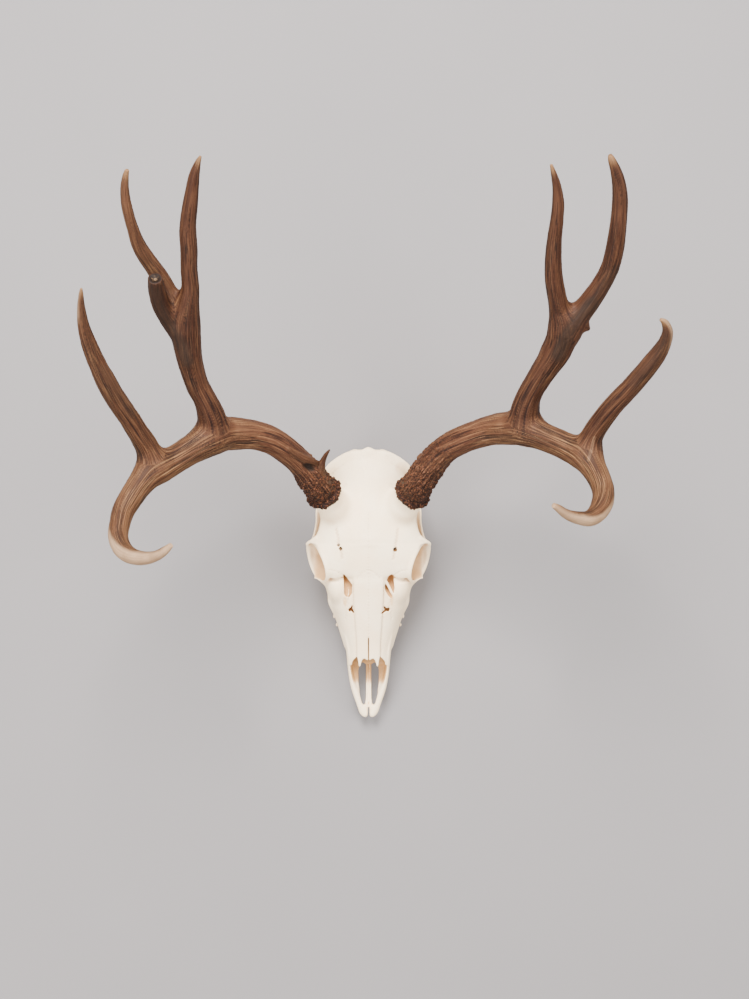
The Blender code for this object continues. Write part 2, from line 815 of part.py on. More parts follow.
def shade():
    for item in bpy.data.objects:
        if item.type == "MESH" and not item.hide_render:
            item.data.shade_smooth()
            item.data.set_sharp_from_angle(angle=math.radians(SMOOTH_SHADING_ANGLE))


def main():
    clear_scene()
    bone = material("bleached bone", BONE_COLOUR, 0.6)
    enamel = material("tooth enamel", ENAMEL_COLOUR, 0.35)
    antler = material("antler", ANTLER_COLOUR, 0.55)
    build_skull(bone)
    build_teeth(enamel)
    build_antler("left", -1, LEFT_LIMBS, LEFT_CUTS, antler)
    build_antler("right", 1, RIGHT_LIMBS, RIGHT_CUTS, antler)
    place_in_frame()
    shade()


main()
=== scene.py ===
"""The looks of a mule deer skull with both antlers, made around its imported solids.

Sizes are millimetres in the skull's own frame, as in the part's source: x across the head, "ahead"
for how far a place is in front of the back crest (minus y), and z above the chewing plane. The bone
is shaped in a grid of distances, the antlers are skinned tubes whose skin is drawn onto their limbs,
and both get their fine relief from Geometry Nodes.
"""

import json
import math
from collections import namedtuple

import bmesh
import bpy
import numpy as np
from mathutils import Matrix, Vector

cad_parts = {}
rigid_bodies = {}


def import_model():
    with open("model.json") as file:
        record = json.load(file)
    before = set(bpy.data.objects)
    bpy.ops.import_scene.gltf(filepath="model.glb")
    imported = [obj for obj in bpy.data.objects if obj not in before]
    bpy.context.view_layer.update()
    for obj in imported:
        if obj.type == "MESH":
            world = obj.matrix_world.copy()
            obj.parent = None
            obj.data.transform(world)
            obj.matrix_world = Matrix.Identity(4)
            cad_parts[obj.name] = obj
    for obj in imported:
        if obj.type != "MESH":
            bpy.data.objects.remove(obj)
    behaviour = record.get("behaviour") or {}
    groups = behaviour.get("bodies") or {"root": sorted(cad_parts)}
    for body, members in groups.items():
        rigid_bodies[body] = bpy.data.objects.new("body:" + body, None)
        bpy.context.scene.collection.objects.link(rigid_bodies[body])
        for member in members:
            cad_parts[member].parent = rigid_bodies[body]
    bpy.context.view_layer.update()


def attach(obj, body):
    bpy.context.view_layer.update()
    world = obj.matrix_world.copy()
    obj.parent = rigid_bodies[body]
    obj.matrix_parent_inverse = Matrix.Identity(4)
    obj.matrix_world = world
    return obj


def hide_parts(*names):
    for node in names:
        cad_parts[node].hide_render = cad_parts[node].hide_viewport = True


for leftover in list(bpy.data.objects):
    bpy.data.objects.remove(leftover, do_unlink=True)
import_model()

MM = 0.001
# The middle of the part's box in the skull's frame, which lies over the world's origin
BOX_MIDDLE = (8.0, -18.1)

# The bone's grid: its step and corners, how far round a form its distances are worked out, the rows put
# between two given rows of a form, and the triangles that the skin is thinned to
BONE_STEP = 0.8
BONE_BLOCK = ((-69, -7, -5), (69, 287, 124))
ROUND_REACH = 7.0
PATH_STEPS = 5
BONE_TRIANGLES = 190000
# What a distance counts as where nothing is near, and a run along a limb where it isn't the nearest
FAR = 40.0
OUT_OF_REACH = 300

# The antlers' skin: its step, the part round the burr with finer faces, the sides and steps of the plain
# tubes that it is grown from, and the places worked out at a time
ANTLER_STEP = 0.8
FINE_REACH = 62
LIMB_SIDES = 16
LIMB_PATH_STEPS = 6
PLACES_AT_ONCE = 6000
# Parting an antler: its gap to the stalk, how near a cut's plane its faces lie, by how much the cut is
# wider than the limb, and the faces under which a body is a sliver
PIECE_GAP = 0.3
CUT_REACH = 3
CUT_GROWTH = 1.3
SLIVER_FACES = 100
# How deep a broken core is, and how deep a dent is where the shade painted into it is darkest
CORE_REACH = 2.5
DEEP_DENT = 3

# The antlers' grain: how wide two limbs' grains meet, the radius that it is drawn on, the shift of the
# pattern from limb to limb, its length for its width, the same for the pearls, and the swells
FORK_BLEND = 8.0
GRAIN_RADIUS = 13.0
GRAIN_SHIFT = 37.0
GRAIN_LENGTHS = 34.0
PEARL_LENGTHS = 2.7
SWELLS_PER_MM = 0.055
# How softly limbs flow into each other
MAIN_BLEND = 6
TINE_BLENDS = {"front_tine": 13, "rear": 8, "rear_outer": 9.5}
POINT_BLEND = 4
# How far from a tip the relief fades out and is full again, and the girth that has the full relief
TIP_BARE = (6, 50)
FULL_GIRTH = 12
RELIEF_SHARES = (0.25, 1.15)

# The photograph's camera, as (x, ahead, z) over the skull, and its focus and height in pixels
CAMERA_PLACE = (6.16, 52.79, 2100)
CAMERA_FOCUS = 1980
PHOTO_HEIGHT = 999
SENSOR = (36, 24)
CAMERA_REACH = 20

# Half the floor's side in metres, its colours, and the soft room around
FLOOR_HALF = 3.0
FLOOR_DARK = (0.168, 0.154, 0.152)
FLOOR_PALE = (0.187, 0.172, 0.169)
ROOM_COLOUR = (1.0, 0.99, 0.98, 1)
ROOM_STRENGTH = 1.4

# Soft lights, as name, place in metres, size and power
LIGHTS = (
    ("key", (-0.3, 1.4, 2.2), 1.2, 235),
    ("fill", (1.5, 0.2, 2.0), 1.6, 65),
    ("low_fill", (-1.4, -1.2, 1.7), 1.6, 62),
)

# Sizes of the relief in millimetres, as the inputs of its node trees
BONE_RELIEF = {
    "Swell Size": 14.0,
    "Swell Height": 0.25,
    "Grain Size": 1.8,
    "Grain Height": 0.09,
    "Pit Size": 2.2,
    "Pit Depth": 0.45,
    "Seam Depth": 0.35,
}
ANTLER_RELIEF = {
    "Groove Width": 3.4,
    "Groove Length": 100.0,
    "Groove Depth": 0.5,
    "Grain Width": 1.7,
    "Grain Depth": 0.55,
    "Swell Height": 1.3,
    "Pearl Size": 2.2,
    "Pearl Height": 1.6,
}

# Dents in the antlers, as middle, direction, half length, half width and depth
LEFT_DENTS = (
    ((57.4, -21.4, 161.0), (1, 0.46, 0.98), 10.5, 4.6, 3.8),
    ((187.6, 142.5, 352), (0, 0.3, 0.8), 3, 4.5, 1.6),
)

# Where each hook turns pale, seen from above: the middle of its bend, then points along the edge
LEFT_PALE = ((197, -66), (
    (246, -50), (240, -66), (236.2, -75), (232.4, -84), (226.1, -91.9), (216, -97.6),
    (203.4, -99.5), (192.8, -99.3), (183, -97.5), (174, -90),
))
RIGHT_PALE = ((190, -38), (
    (232, -40), (226, -50), (221.5, -57), (212.5, -65.8), (203, -68.3), (193.8, -66.7),
    (175, -61.3), (163, -54),
))
PALE_REACH = 105
# How far from its tip the outer side of the front tine is pale, from full to none
PALE_TINE = (22, 40)

# Painted shade and painted highlights on the antlers, seen from above, as a line of points, its reach,
# and painted shade (-) or painted highlight (+)
LEFT_PAINTED_LIGHT = (
    (((189, 134), (187, 120), (182, 108), (175, 96), (168, 84), (165, 74)), 9, -0.9),
    (((184, 137), (188, 136.5)), 3.0, 0.35),
    (((232, 62), (225, 45), (214, 25)), 7, -0.45),
)
RIGHT_PAINTED_LIGHT = (
    (((200, 122), (190, 111), (182, 98), (174, 80)), 9.5, -1.0),
    (((222, 150), (214, 138), (204, 124)), 8, -0.6),
    (((262, 92), (252, 70), (238, 52)), 8, -0.5),
    (((208.5, 4), (206, -7), (203.5, -16)), 2.0, 0.2),
)

# How strongly each limb has the darker colour of the rear tines, where that isn't full
LEFT_SHADES = {"main": 0, "front_tine": 0.55, "rear_outer": 0.5}
RIGHT_SHADES = {"main": 0, "front_tine": 0.8}
# How far the small points count as farther from their tips, so that they stay dark
DULL_TIP = 60
# How sparse the pearls are along the upper side of the beam
UPPER_PEARLS = 0.62

# Seams of the skull's top, as points of (x, ahead), the same on the other side
SEAMS = (
    ((0, 66), (0, 126)),
    ((0, 124), (6, 127), (12, 133), (15.6, 140), (16, 160), (14.2, 180), (13, 200), (12.7, 214)),
    ((0, 126), (0, 196)),
    ((26, 130), (32, 126), (40, 124)),
    ((24, 154), (21, 160), (23, 168), (24, 176)),
    ((23, 15.5), (30, 19.5), (35.5, 24.5), (38.5, 30)),
)
# Blood grooves towards the holes over the eyes, right and then left
GROOVES = (
    ((29.9, 83), (29.2, 90), (28.3, 96), (27.3, 102)),
    ((26.4, 107), (25.4, 113)),
    ((-32.6, 83), (-31.6, 88), (-30.6, 92), (-30.3, 98)),
    ((-27.6, 105), (-26.8, 112)),
)

# Stained hollows of the bone, as middle (x, ahead, z), radii, strength and softness, on both sides
STAINS = (
    ((46, 115.7, 70), (29, 19.9, 19.9), 0.66, 0.1),
    ((27, 104, 67), (13.5, 14.5, 13.5), 0.7, 0.3),
    ((46, 76, 41), (13, 30, 23), 0.95, 0.8),
    ((21, 141, 73), (9.5, 18, 21), 1.0, 0.2),
    ((18, 166, 64), (8.5, 9.5, 11), 1.0, 0.2),
    ((6, 205, 38), (23, 24, 26), 0.95, 0.7),
    ((6, 226, 36), (26, 9, 26), 0.95, 2.2),
    ((0, 240, 19), (4, 46, 6), 0.7, 0.4),
)
STAIN_PALES = (51, 66)
# How the crowding round a place darkens it, as the box's radius in grid steps, how far out of the bone
# its middle is, the crowding that it starts at, the rise to its full strength, and that strength
SHELTER_LOOKS = ((4, 2.5, 0.22, 0.35, 0.5), (12, 7, 0.24, 0.22, 0.8))
# The heights between which the walls in the gaps before the eyes are stained
GAP_STAIN_HEIGHTS = (45, 99)
# Faintly stained patches of the outer surface
TINGES = (
    ((36, 66, 92), (12, 13, 15), 0.4),
    ((33, 22, 70), (10, 8, 14), 0.08),
    ((38, 134, 76), (9, 4, 6), 0.15),
    ((24, 158, 74), (3, 12, 8), 0.35),
)

# Braincase and face, as (ahead, half width, bottom, waist, top)
CRANIUM = (
    (2, 17, 52, 66, 82),
    (8, 30, 38, 57, 86),
    (18, 36, 31, 55, 90),
    (32, 37.5, 27, 56, 94),
    (48, 38, 27, 57, 97),
    (64, 36, 27, 57, 99),
    (80, 30, 28, 57, 101),
    (97, 25, 30, 57, 101),
)
FACE = (
    (92, 26, 32, 58, 101),
    (106, 30, 26, 48, 98),
    (120, 35, 22, 42, 94),
    (135, 39, 19, 40, 88),
    (150, 40.5, 19, 38, 81.5),
    (163, 39, 19, 36, 76),
    (173, 34.5, 19, 34, 71.5),
    (184, 30.5, 19, 34, 66.5),
    (196, 26.5, 19, 34, 61),
    (208, 23.2, 19, 33, 56),
    (219, 22, 20, 32, 52),
    (225, 21.5, 20, 31.3, 49.2),
)
SECTION_POWER = 2.3

# Forehead plate, as (ahead, half width, height at the middle, height at the edge)
FOREHEAD = (
    (38, 20, 95, 90),
    (50, 33, 98.5, 91),
    (61, 45, 101, 91),
    (74, 48.7, 102.5, 91),
    (83, 50.6, 103, 90.5),
    (89.5, 53.4, 103, 88.5),
    (92.3, 56, 103, 86.5),
    (95, 59, 102.5, 84.5),
    (97, 59.5, 102, 84),
    (98.5, 54.5, 102, 87),
    (101.2, 52.3, 101.5, 88.5),
    (106, 49.8, 100.3, 90),
    (112.2, 46.8, 98.4, 90.5),
    (118, 45, 96.2, 88.5),
    (124.4, 43.4, 93.3, 85),
    (131, 41, 90, 79),
)
FOREHEAD_THICKNESS = 6

# Nose bones, as (ahead, half width, top)
NASALS = (
    (119, 11.5, 92.6),
    (127, 14.2, 91.6),
    (134, 15.7, 90.2),
    (141, 16, 88.1),
    (160, 15.2, 80),
    (180, 14, 71),
    (200, 12.8, 61.5),
    (214, 12.6, 56),
    (226, 12.2, 51.5),
)
NASAL_THICKNESS = 3.2
NASAL_CROWN = 2.2

# Swept forms of one side, as (x, ahead, z, radius across, radius up)
CREST = (
    (0, 4.7, 84, 5.0, 3.0),
    (3.5, 6.2, 84.3, 5.0, 2.8),
    (7.5, 7.8, 84, 5.0, 2.5),
    (15.5, 8.0, 83, 5.0, 2.2),
    (21.5, 9.7, 80.5, 5.0, 2.1),
    (27.5, 12.8, 77, 5.0, 2.1),
    (33.5, 16.6, 72.5, 5.0, 2.1),
    (38.6, 20.8, 66.5, 5.0, 2.1),
    (41.3, 24.6, 61, 4.4, 2.2),
    (41.2, 29.5, 56, 3.6, 2.6),
    (39, 35, 52, 3.6, 3.6),
)
CHEEK_ROOT = ((34, 27, 54, 6, 6), (41, 40, 52, 6, 6), (49, 54, 50, 4, 6))
CHEEK_ARCH = (
    (48, 53, 49, 4.0, 6.0),
    (51.2, 64, 49.5, 2.1, 7.5),
    (51.3, 76, 49.5, 1.9, 8.0),
    (53.2, 88, 51, 2.1, 8.5),
    (56.6, 100, 52, 2.5, 9.0),
    (58.2, 112, 49, 2.6, 8.0),
    (55.3, 123, 47, 3.0, 7.5),
    (48.4, 132.5, 47, 4.2, 8.0),
    (40.6, 140.5, 45, 4.4, 8.0),
    (37.0, 150, 42, 4.9, 8.0),
    (36.0, 159, 38, 5.2, 8.0),
    (31.0, 168, 34, 5.0, 8.0),
)
ARCH_UP = (0.37, 0, 1)
EYE_CORNER = (
    (53, 92.0, 87.5, 2.0, 2.0),
    (58.6, 95.2, 84, 1.6, 1.8),
    (62, 97.9, 79, 1.5, 1.7),
    (61.5, 99.4, 70, 1.6, 2.2),
)
EYE_BACK_BAR = ((61.8, 99, 76, 1.7, 2.2), (61, 100, 66, 1.8, 3), (57.5, 100, 54, 2.6, 5))
NOSE_WALL = (
    (23.5, 192, 36, 3.2, 14.0),
    (21.0, 206, 34.5, 2.8, 12.5),
    (19.9, 219, 32, 2.4, 9.5),
    (19.1, 232, 28, 2.3, 6.6),
    (15.6, 249, 23.5, 3.0, 4.4),
    (10.2, 264, 19.8, 3.6, 3.4),
    (6.2, 274, 17.4, 3.9, 3.0),
    (4.0, 278, 16.8, 3.2, 2.8),
)
PALATE_SHELF = ((15.5, 200, 21, 6.5, 2.2), (14.2, 228, 21.4, 4.8, 2.0), (11.5, 252, 18.6, 3.4, 2.0))
MIDDLE_BAR = (
    (1.8, 196, 21, 1.5, 1.9),
    (1.75, 238, 20, 1.1, 1.6),
    (1.9, 262, 17.8, 1.2, 1.8),
    (2.8, 272, 16.8, 1.9, 2.4),
)
MIDDLE_WEB = ((0, 198, 19.5, 1.6, 0.9), (0, 240, 18.4, 1.3, 0.8), (0, 266, 16.4, 1.2, 0.8))
TIP_BODY = ((5.1, 271.6, 16.9), (4.6, 8.4, 3.5))
TIP_LOBE = ((3.2, 277.2, 16.6), (2.6, 4.4, 2.9))
TOOTH_BUMPS = (((36.0, 175.2, 14.5), (1.5, 2.6, 3.2)), ((33.2, 184.6, 14.5), (1.3, 1.9, 3.0)))
TOOTH_RIDGE = (
    (31.0, 105, 24, 6.0, 9),
    (32.6, 114, 24, 8.0, 15),
    (33.6, 126, 25, 8.4, 17),
    (33.6, 140, 26, 8.4, 18),
    (32.4, 156, 26, 8.0, 18),
    (29.6, 170, 26, 6.6, 18),
    (26.4, 182, 26, 5.9, 17),
    (23.8, 193, 27, 5.2, 15),
    (21.5, 204, 29, 4.0, 11),
)
WING = ((14, 74, 38, 3, 6), (14.5, 88, 27, 2.0, 7), (14.5, 98, 19, 1.6, 6), (15.5, 110, 21, 2.6, 5))
SIDE_SPUR = ((28, 15, 50, 8, 7), (28, 16, 32, 5.4, 6.2), (27, 18, 15, 3.6, 5.0), (26, 20.5, -3, 2.8, 3.8))
SKULL_BASE = ((0, 6, 33, 8, 5), (0, 40, 28, 8.5, 5), (0, 74, 30, 6, 6), (0, 100, 36, 5, 9))
STALK = ((24, 66, 84, 11), (30, 63, 90, 15), (35, 58.5, 96, 16.5), (39.5, 53, 103.5, 15.8), (44, 46, 117, 15))

# Round forms, as centre (x, ahead, z) and radii
CONDYLE = ((14, 9.5, 38), (8, 9, 12))
EAR_DRUM = ((20, 38, 29), (8.5, 13, 9.5))
EAR_TUBE = ((34, 36, 45), (7, 5, 5))
TEAR_BONE = ((30.5, 137, 60), (13.5, 22, 21.5))
BROW = ((34, 116, 81.5), (12, 17, 9))

# Eye opening
EYE = (52.2, 116.2, 70)
EYE_RADIUS = 20.0
EYE_LEAN_AHEAD = 6.8
EYE_LEAN_UP = 7.6
EYE_RIM_RADIUS = 1.7
EYE_HOLLOW = ((46, 115.7, 70), (28, 19.2, 19.2))
EYE_DEPTH = ((27, 104, 67), (13, 14, 13))

# Hollows of one side
TEAR_PIT = ((45.5, 149, 62), (9.5, 10.5, 7.5))
TEAR_NOTCH = ((44, 132.6, 69, 1.8), (38.5, 133.6, 77.5, 2.2), (32, 135.4, 82, 1.8))
LEFT_TEAR_GAP = (
    (25.4, 128.0), (24.9, 139.0), (24.6, 149.5), (22.6, 151.6),
    (19.6, 152.2), (17.0, 148.5), (16.6, 139.5),
)
RIGHT_TEAR_GAPS = (
    (
        (25.2, 130), (23.4, 128.8), (20.8, 130.5), (18.6, 135.0),
        (20.6, 138.5), (23.0, 143.0), (25.6, 148.5), (26.4, 143),
    ),
    (
        (17.2, 138.2), (16.6, 141.5), (17.4, 146.0), (20.2, 150.6),
        (23.4, 153.8), (24.2, 151.6), (21.4, 146.0), (19.0, 141),
    ),
)
TEAR_GAP_HEIGHTS = (73.5, 99)
# Thin scrolls of bone seen in the left gap, as (x, ahead, z, radius)
TEAR_SCROLLS = (((-20.8, 142, 77, 0.4), (-20.2, 147, 78.5, 0.5), (-21.4, 154, 77, 0.6)),)
LEFT_CHIP = (
    (20.9, 166.2), (19.4, 163.8), (17.9, 163.4), (17.4, 160.9), (16.0, 161.6), (16.4, 164.2),
    (14.4, 168.8), (15.3, 169.4), (17.8, 166.6), (19.3, 168.0),
)
RIGHT_CHIP = (
    (21.9, 165.0), (20.6, 163.4), (18.8, 164.2), (16.2, 162.0), (15.2, 163.0), (16.6, 165.4),
    (12.8, 169.4), (13.6, 170.0), (17.2, 167.6), (18.6, 166.8), (20.4, 167.9),
)
CHIP_HEIGHTS = (62, 90)
BLOOD_HOLES = (((27.1, 103.4), 1.75), ((-30.3, 99.0), 1.0), ((-28.1, 102.5), 1.3))
BLOOD_HOLE_HEIGHTS = (80, 104)
PALATE_SLOT = (
    (3.4, 226), (5.8, 223.4), (9.0, 224.8), (10.8, 232), (10.7, 245),
    (8.8, 260), (7.0, 267.2), (5.2, 268.8), (3.6, 267.4), (3.1, 262), (3.1, 240),
)
PALATE_SLOT_HEIGHTS = (6, 44)
NOSE_ARCH = (
    (-0.6, 220), (0.7, 219.2), (2.4, 218.2), (4.4, 217.0), (6.2, 218.2), (7.6, 221.5),
    (8.7, 226.5), (8.7, 234), (-0.6, 234),
)
NOSE_EAR = (
    (9.9, 226.5), (10.6, 221), (11.3, 217.2), (11.8, 215.2), (12.6, 216.2), (14.7, 218.2),
    (16.6, 220.8), (17.4, 224), (17.6, 234), (9.9, 234),
)
NOSE_EDGE_HEIGHTS = (38, 66)
CHOANA = ((0, 104, 26), (10.5, 17, 8))
BRAIN_HOLLOW = ((0, 44, 64), (26, 31, 22))
BACK_HOLE = ((0, -14, 48, 10), (0, 30, 48, 10))
EYE_CUP_GROWTH = 1.9
EYE_CUP_TOP = 63
CUP_REACH = 10
NOSE_HOLLOW = (
    (132, 12, 44, 58, 76),
    (145, 19, 28, 44, 73),
    (160, 20, 26, 40, 67.5),
    (180, 18.5, 25, 36, 60),
    (200, 17, 24.5, 34, 52),
    (216, 17, 24, 33, 47.5),
    (232, 17, 24, 33, 47.5),
)
NOSE_SLIT = (195, 230, 1.2, 44, 70)
TIP_NOTCH = (271.5, 290, 1.4, 5, 30)

# Tooth sides as (height, share of the outline), and the chewing face's rings as shares
TOOTH_SIDES = (
    (17.0, 0.72), (13.0, 0.84), (10.7, 0.91), (8.6, 0.97),
    (5.5, 1.0), (2.0, 1.0), (0.35, 0.995), (0, 0.975),
)
TOOTH_FACE_SHARES = (0.94, 0.88, 0.8, 0.72, 0.64, 0.56, 0.48, 0.4, 0.32, 0.24, 0.16, 0.08)

# The plane where each antler's burr sits on its stalk
BURR_MIDDLE = (43, 48, 112)
BURR_NORMAL = (0.38, 0.53, 0.76)

# Flat cuts at the gums and under the two spurs, as ranges of x and ahead, from a height under
# everything, and how far round the burr's middle the stalk is cut
GUM_LINE = 11.0
GUM_CUT = ((13, 48), (104, 204))
FOOT_CUT = ((16, 36), (4, 32))
UNDER_ALL = -20
STALK_CUT_REACH = 30

# The burr's ring: its radius and thickness, its height over the cut, and how softly it meets the beam
BURR_RADIUS = 14.6
BURR_THICKNESS = 3.6
BURR_LIFT = 3.8
BURR_BLEND = 2.5

# Antler limbs, as (x, y, z, radius), with x away from the head
LEFT_LIMBS = {
    "beam": (
        (41, -51, 108, 15.0),
        (45, -46, 116, 15.0),
        (55, -32, 137, 14.5),
        (64, -20, 150, 13.3),
        (76, -8, 164, 13.0),
        (93, 4, 182, 13.6),
        (109, 9, 196, 14.4),
        (124, 10, 209, 15.6),
        (140, 9, 221, 16.5),
        (154, 2, 232, 16.0),
    ),
    "front": (
        (154, 2, 232, 16.0),
        (167, -6.5, 241, 13.9),
        (180, -15.2, 250, 13.4),
        (193, -23.2, 258, 14.2),
        (204, -30.6, 264, 13.5),
        (212, -41, 271, 12.0),
        (219, -53, 279, 11.3),
        (224, -64, 287, 10.5),
        (226, -75, 296, 9.6),
        (226, -87, 306, 9.2),
        (221, -97, 316, 8.6),
        (212, -103, 326, 7.6),
        (200, -105, 336, 6.2),
        (188, -103, 345, 4.9),
        (179, -98, 352, 3.8),
        (173, -93, 357, 2.2),
    ),
    "front_tine": (
        (200, -18, 262, 12.0),
        (204, -4, 272, 11.0),
        (210, 8, 285, 9.9),
        (218, 23, 301, 9.5),
        (226, 37, 317, 9.5),
        (233, 52, 333, 9.2),
        (239, 67, 348, 8.1),
        (244, 83, 363, 7.0),
        (247, 99, 378, 5.3),
        (247, 113, 391, 3.5),
        (246, 123, 399, 2.1),
        (245, 128, 404, 1.1),
    ),
    "rear": (
        (147, 9, 226, 16.0),
        (147, 24, 238, 13.6),
        (151, 38, 250, 11.2),
        (158, 53, 261, 10.9),
        (162, 67, 272, 11.2),
        (164.6, 82, 284, 12.4),
        (165, 97, 295, 13.1),
        (164.2, 112, 306, 12.5),
        (161.7, 124, 316, 10.2),
        (159, 137, 325, 8.3),
        (159, 152, 336, 7.7),
        (158, 168, 348, 7.7),
        (158, 185, 360, 7.5),
        (155, 202, 372, 6.9),
        (152, 216, 382, 5.9),
        (149.5, 227, 390, 4.7),
        (146, 237, 396, 2.7),
        (143.2, 242, 400, 1.1),
    ),
    "rear_outer": (
        (168, 106, 298, 10.5),
        (176, 126, 310, 8.6),
        (183.4, 142, 320, 7.9),
        (191.8, 155, 332, 7.5),
        (201.4, 170, 347, 6.7),
        (206, 185, 362, 5.2),
        (209.4, 201, 375, 4.8),
        (210.3, 215, 384, 3.9),
        (209, 225, 390, 3.0),
        (207, 231, 395, 1.9),
    ),
    "stub": (
        (166, 84, 287, 8.0),
        (171.5, 97, 296, 8.2),
        (178.6, 109, 305, 8.9),
        (185.4, 122, 321, 8.5),
        (187.6, 133, 337, 7.7),
        (187.6, 142.5, 352, 6.6),
    ),
    "spike": (
        (50, -30, 143, 6.5),
        (46.7, -22, 149, 4.2),
        (44.6, -15, 153, 2.9),
        (41.6, -9, 158, 2.0),
        (37.8, -4.4, 163, 0.9),
    ),
    "fin": (
        (76.8, -4.3, 181.6, 2.6),
        (72.8, -7.6, 177.8, 3.0),
        (67.8, -10.1, 173.5, 3.4),
        (62.7, -12.7, 169.1, 3.6),
        (57.8, -14.6, 164.1, 3.5),
        (53.9, -15.9, 159.1, 3.0),
        (51.2, -16.6, 154.2, 2.3),
    ),
}
RIGHT_LIMBS = {
    "beam": (
        (41, -51, 108, 15.0),
        (45, -46, 116, 15.0),
        (49, -38, 129, 14.9),
        (56, -27, 141, 14.4),
        (64, -16, 152, 14.0),
        (75, -4, 166, 13.7),
        (89, 4, 179, 13.6),
        (105, 10, 192, 13.7),
        (120, 14, 204, 14.8),
        (133, 15, 215, 16.0),
        (146, 15, 224, 16.5),
    ),
    "front": (
        (146, 15, 224, 16.5),
        (160, 9, 233, 14.1),
        (175, 2, 242, 12.9),
        (189, -5, 251, 13.1),
        (200, -12, 258, 13.4),
        (208, -22, 265, 12.2),
        (213, -33, 274, 10.9),
        (216, -45, 284, 10.3),
        (214, -56, 294, 10.0),
        (208, -65, 304, 8.8),
        (199, -70, 314, 7.2),
        (188, -69, 323, 5.8),
        (178, -66, 332, 4.6),
        (170, -61, 340, 3.6),
        (165, -58, 345, 2.4),
    ),
    "front_tine": (
        (205, -7, 258, 11.2),
        (208, 7, 268, 10.2),
        (215, 20, 280, 9.7),
        (225, 34, 295, 9.3),
        (237, 48, 311, 9.0),
        (248, 62, 327, 8.7),
        (257, 75, 341, 7.8),
        (262, 85, 352, 6.2),
        (263.6, 94.5, 361, 4.9),
        (260.6, 101.5, 367, 3.3),
        (256.0, 104.5, 371, 1.4),
    ),
    "rear": (
        (148, 18, 226, 16.0),
        (148, 31, 236, 13.7),
        (150.8, 44, 246, 11.6),
        (157.8, 58, 257, 11.6),
        (165.8, 71, 268, 12.3),
        (173.8, 85, 279, 14.0),
        (178.0, 98, 290, 14.2),
        (177.3, 110, 300, 12.7),
        (174, 119, 307, 10.0),
        (171, 128, 315, 8.8),
        (167, 144, 328, 8.3),
        (165, 160, 341, 7.6),
        (165, 178, 355, 6.6),
        (166, 194, 368, 5.8),
        (166, 206, 377, 5.3),
        (164, 218, 386, 4.0),
        (161, 227, 393, 2.7),
        (158, 235, 399, 1.2),
    ),
    "rear_outer": (
        (183.5, 104, 295, 12.4),
        (194.3, 118, 305, 10.4),
        (201.8, 128, 313, 9.6),
        (209.6, 140, 323, 8.8),
        (216, 154, 335, 8.4),
        (219, 170, 348, 8.3),
        (220, 187, 362, 7.6),
        (220, 205, 375, 7.0),
        (218, 219, 386, 6.2),
        (214, 230, 395, 4.8),
        (210, 238, 401, 3.4),
        (208, 242, 404, 1.8),
    ),
    "kicker": (
        (188, 110, 298, 9.0),
        (194.5, 106.5, 298.5, 6.4),
        (199, 103.8, 298, 3.4),
        (200.8, 102, 297.5, 1.8),
    ),
}

# Where each antler is parted at its forks, as (x, y, z) on the cut and its half size
LEFT_CUTS = {
    "front_branch": ((162, -3, 237), (-13, 8, -9), 30),
    "front_tine": ((206, 0, 277), (-5, -14, -11), 18),
    "rear_branch": ((148, 30, 243), (0, -14, -11), 22),
    "rear_outer_tine": ((183, 145, 322), (-14, -29, -22), 11),
}
RIGHT_CUTS = {
    "front_branch": ((158, 10, 231), (-14, 6, -8), 30),
    "front_tine": ((211, 13, 273), (-5, -13, -11), 18),
    "rear_branch": ((148, 37, 241), (0, -13, -10), 22),
    "rear_outer_tine": ((194, 125, 311), (-9, -11, -8), 16),
}

# Everything of each antler, with its patches of painted shade and painted highlight. Its pearls are full
# up to one run from the burr and gone at another, and the sparse ones of its upper side likewise
Antler = namedtuple("Antler", "side mirror pearls upper_pearls limbs cuts dents hook patches shades")
ANTLERS = (
    Antler("left", -1, (34, 76), (40, 90),
           LEFT_LIMBS, LEFT_CUTS, LEFT_DENTS, LEFT_PALE, LEFT_PAINTED_LIGHT, LEFT_SHADES),
    Antler("right", 1, (38, 92), (70, 130),
           RIGHT_LIMBS, RIGHT_CUTS, (), RIGHT_PALE, RIGHT_PAINTED_LIGHT, RIGHT_SHADES),
)

# Cheek teeth, as name, ahead, distance from the middle, length along the jaw, width
TEETH = (
    ("premolar_2", 191.0, 24.8, 10.4, 9.2),
    ("premolar_3", 180.4, 28.2, 10.8, 11.0),
    ("premolar_4", 169.4, 30.8, 11.0, 12.2),
    ("molar_1", 156.4, 32.8, 14.2, 13.6),
    ("molar_2", 140.6, 33.8, 16.2, 14.8),
    ("molar_3", 123.6, 33.6, 16.6, 14.6),
)
TOOTH_TURNS = (20, 15, 10, 5, 1, -3)
PREMOLAR_OUTLINE = (
    (-0.46, -0.12), (-0.30, -0.42), (0.0, -0.5), (0.30, -0.42), (0.46, -0.12),
    (0.48, 0.40), (0.28, 0.36), (0.02, 0.5), (-0.22, 0.38), (-0.48, 0.42),
)
MOLAR_OUTLINE = (
    (-0.47, -0.18), (-0.30, -0.5), (-0.12, -0.42), (0.0, -0.24), (0.12, -0.42), (0.30, -0.48),
    (0.46, -0.18), (0.48, 0.44), (0.25, 0.36), (0.02, 0.5), (-0.24, 0.38), (-0.48, 0.5),
)


# Bleached bone, as linear colours
BONE_WARM = (0.94, 0.715, 0.45)
BONE_PALE = (0.98, 0.79, 0.54)
BONE_SPECK = (0.84, 0.63, 0.39)
STAIN_TAN = (0.66, 0.385, 0.165)
STAIN_BROWN = (0.45, 0.225, 0.07)
SEAM_BROWN = (0.62, 0.42, 0.24)
# Painted shade inside the blood holes
HOLE_SHADE = (0.075, 0.062, 0.045)
PORE_BROWN = (0.42, 0.27, 0.15)

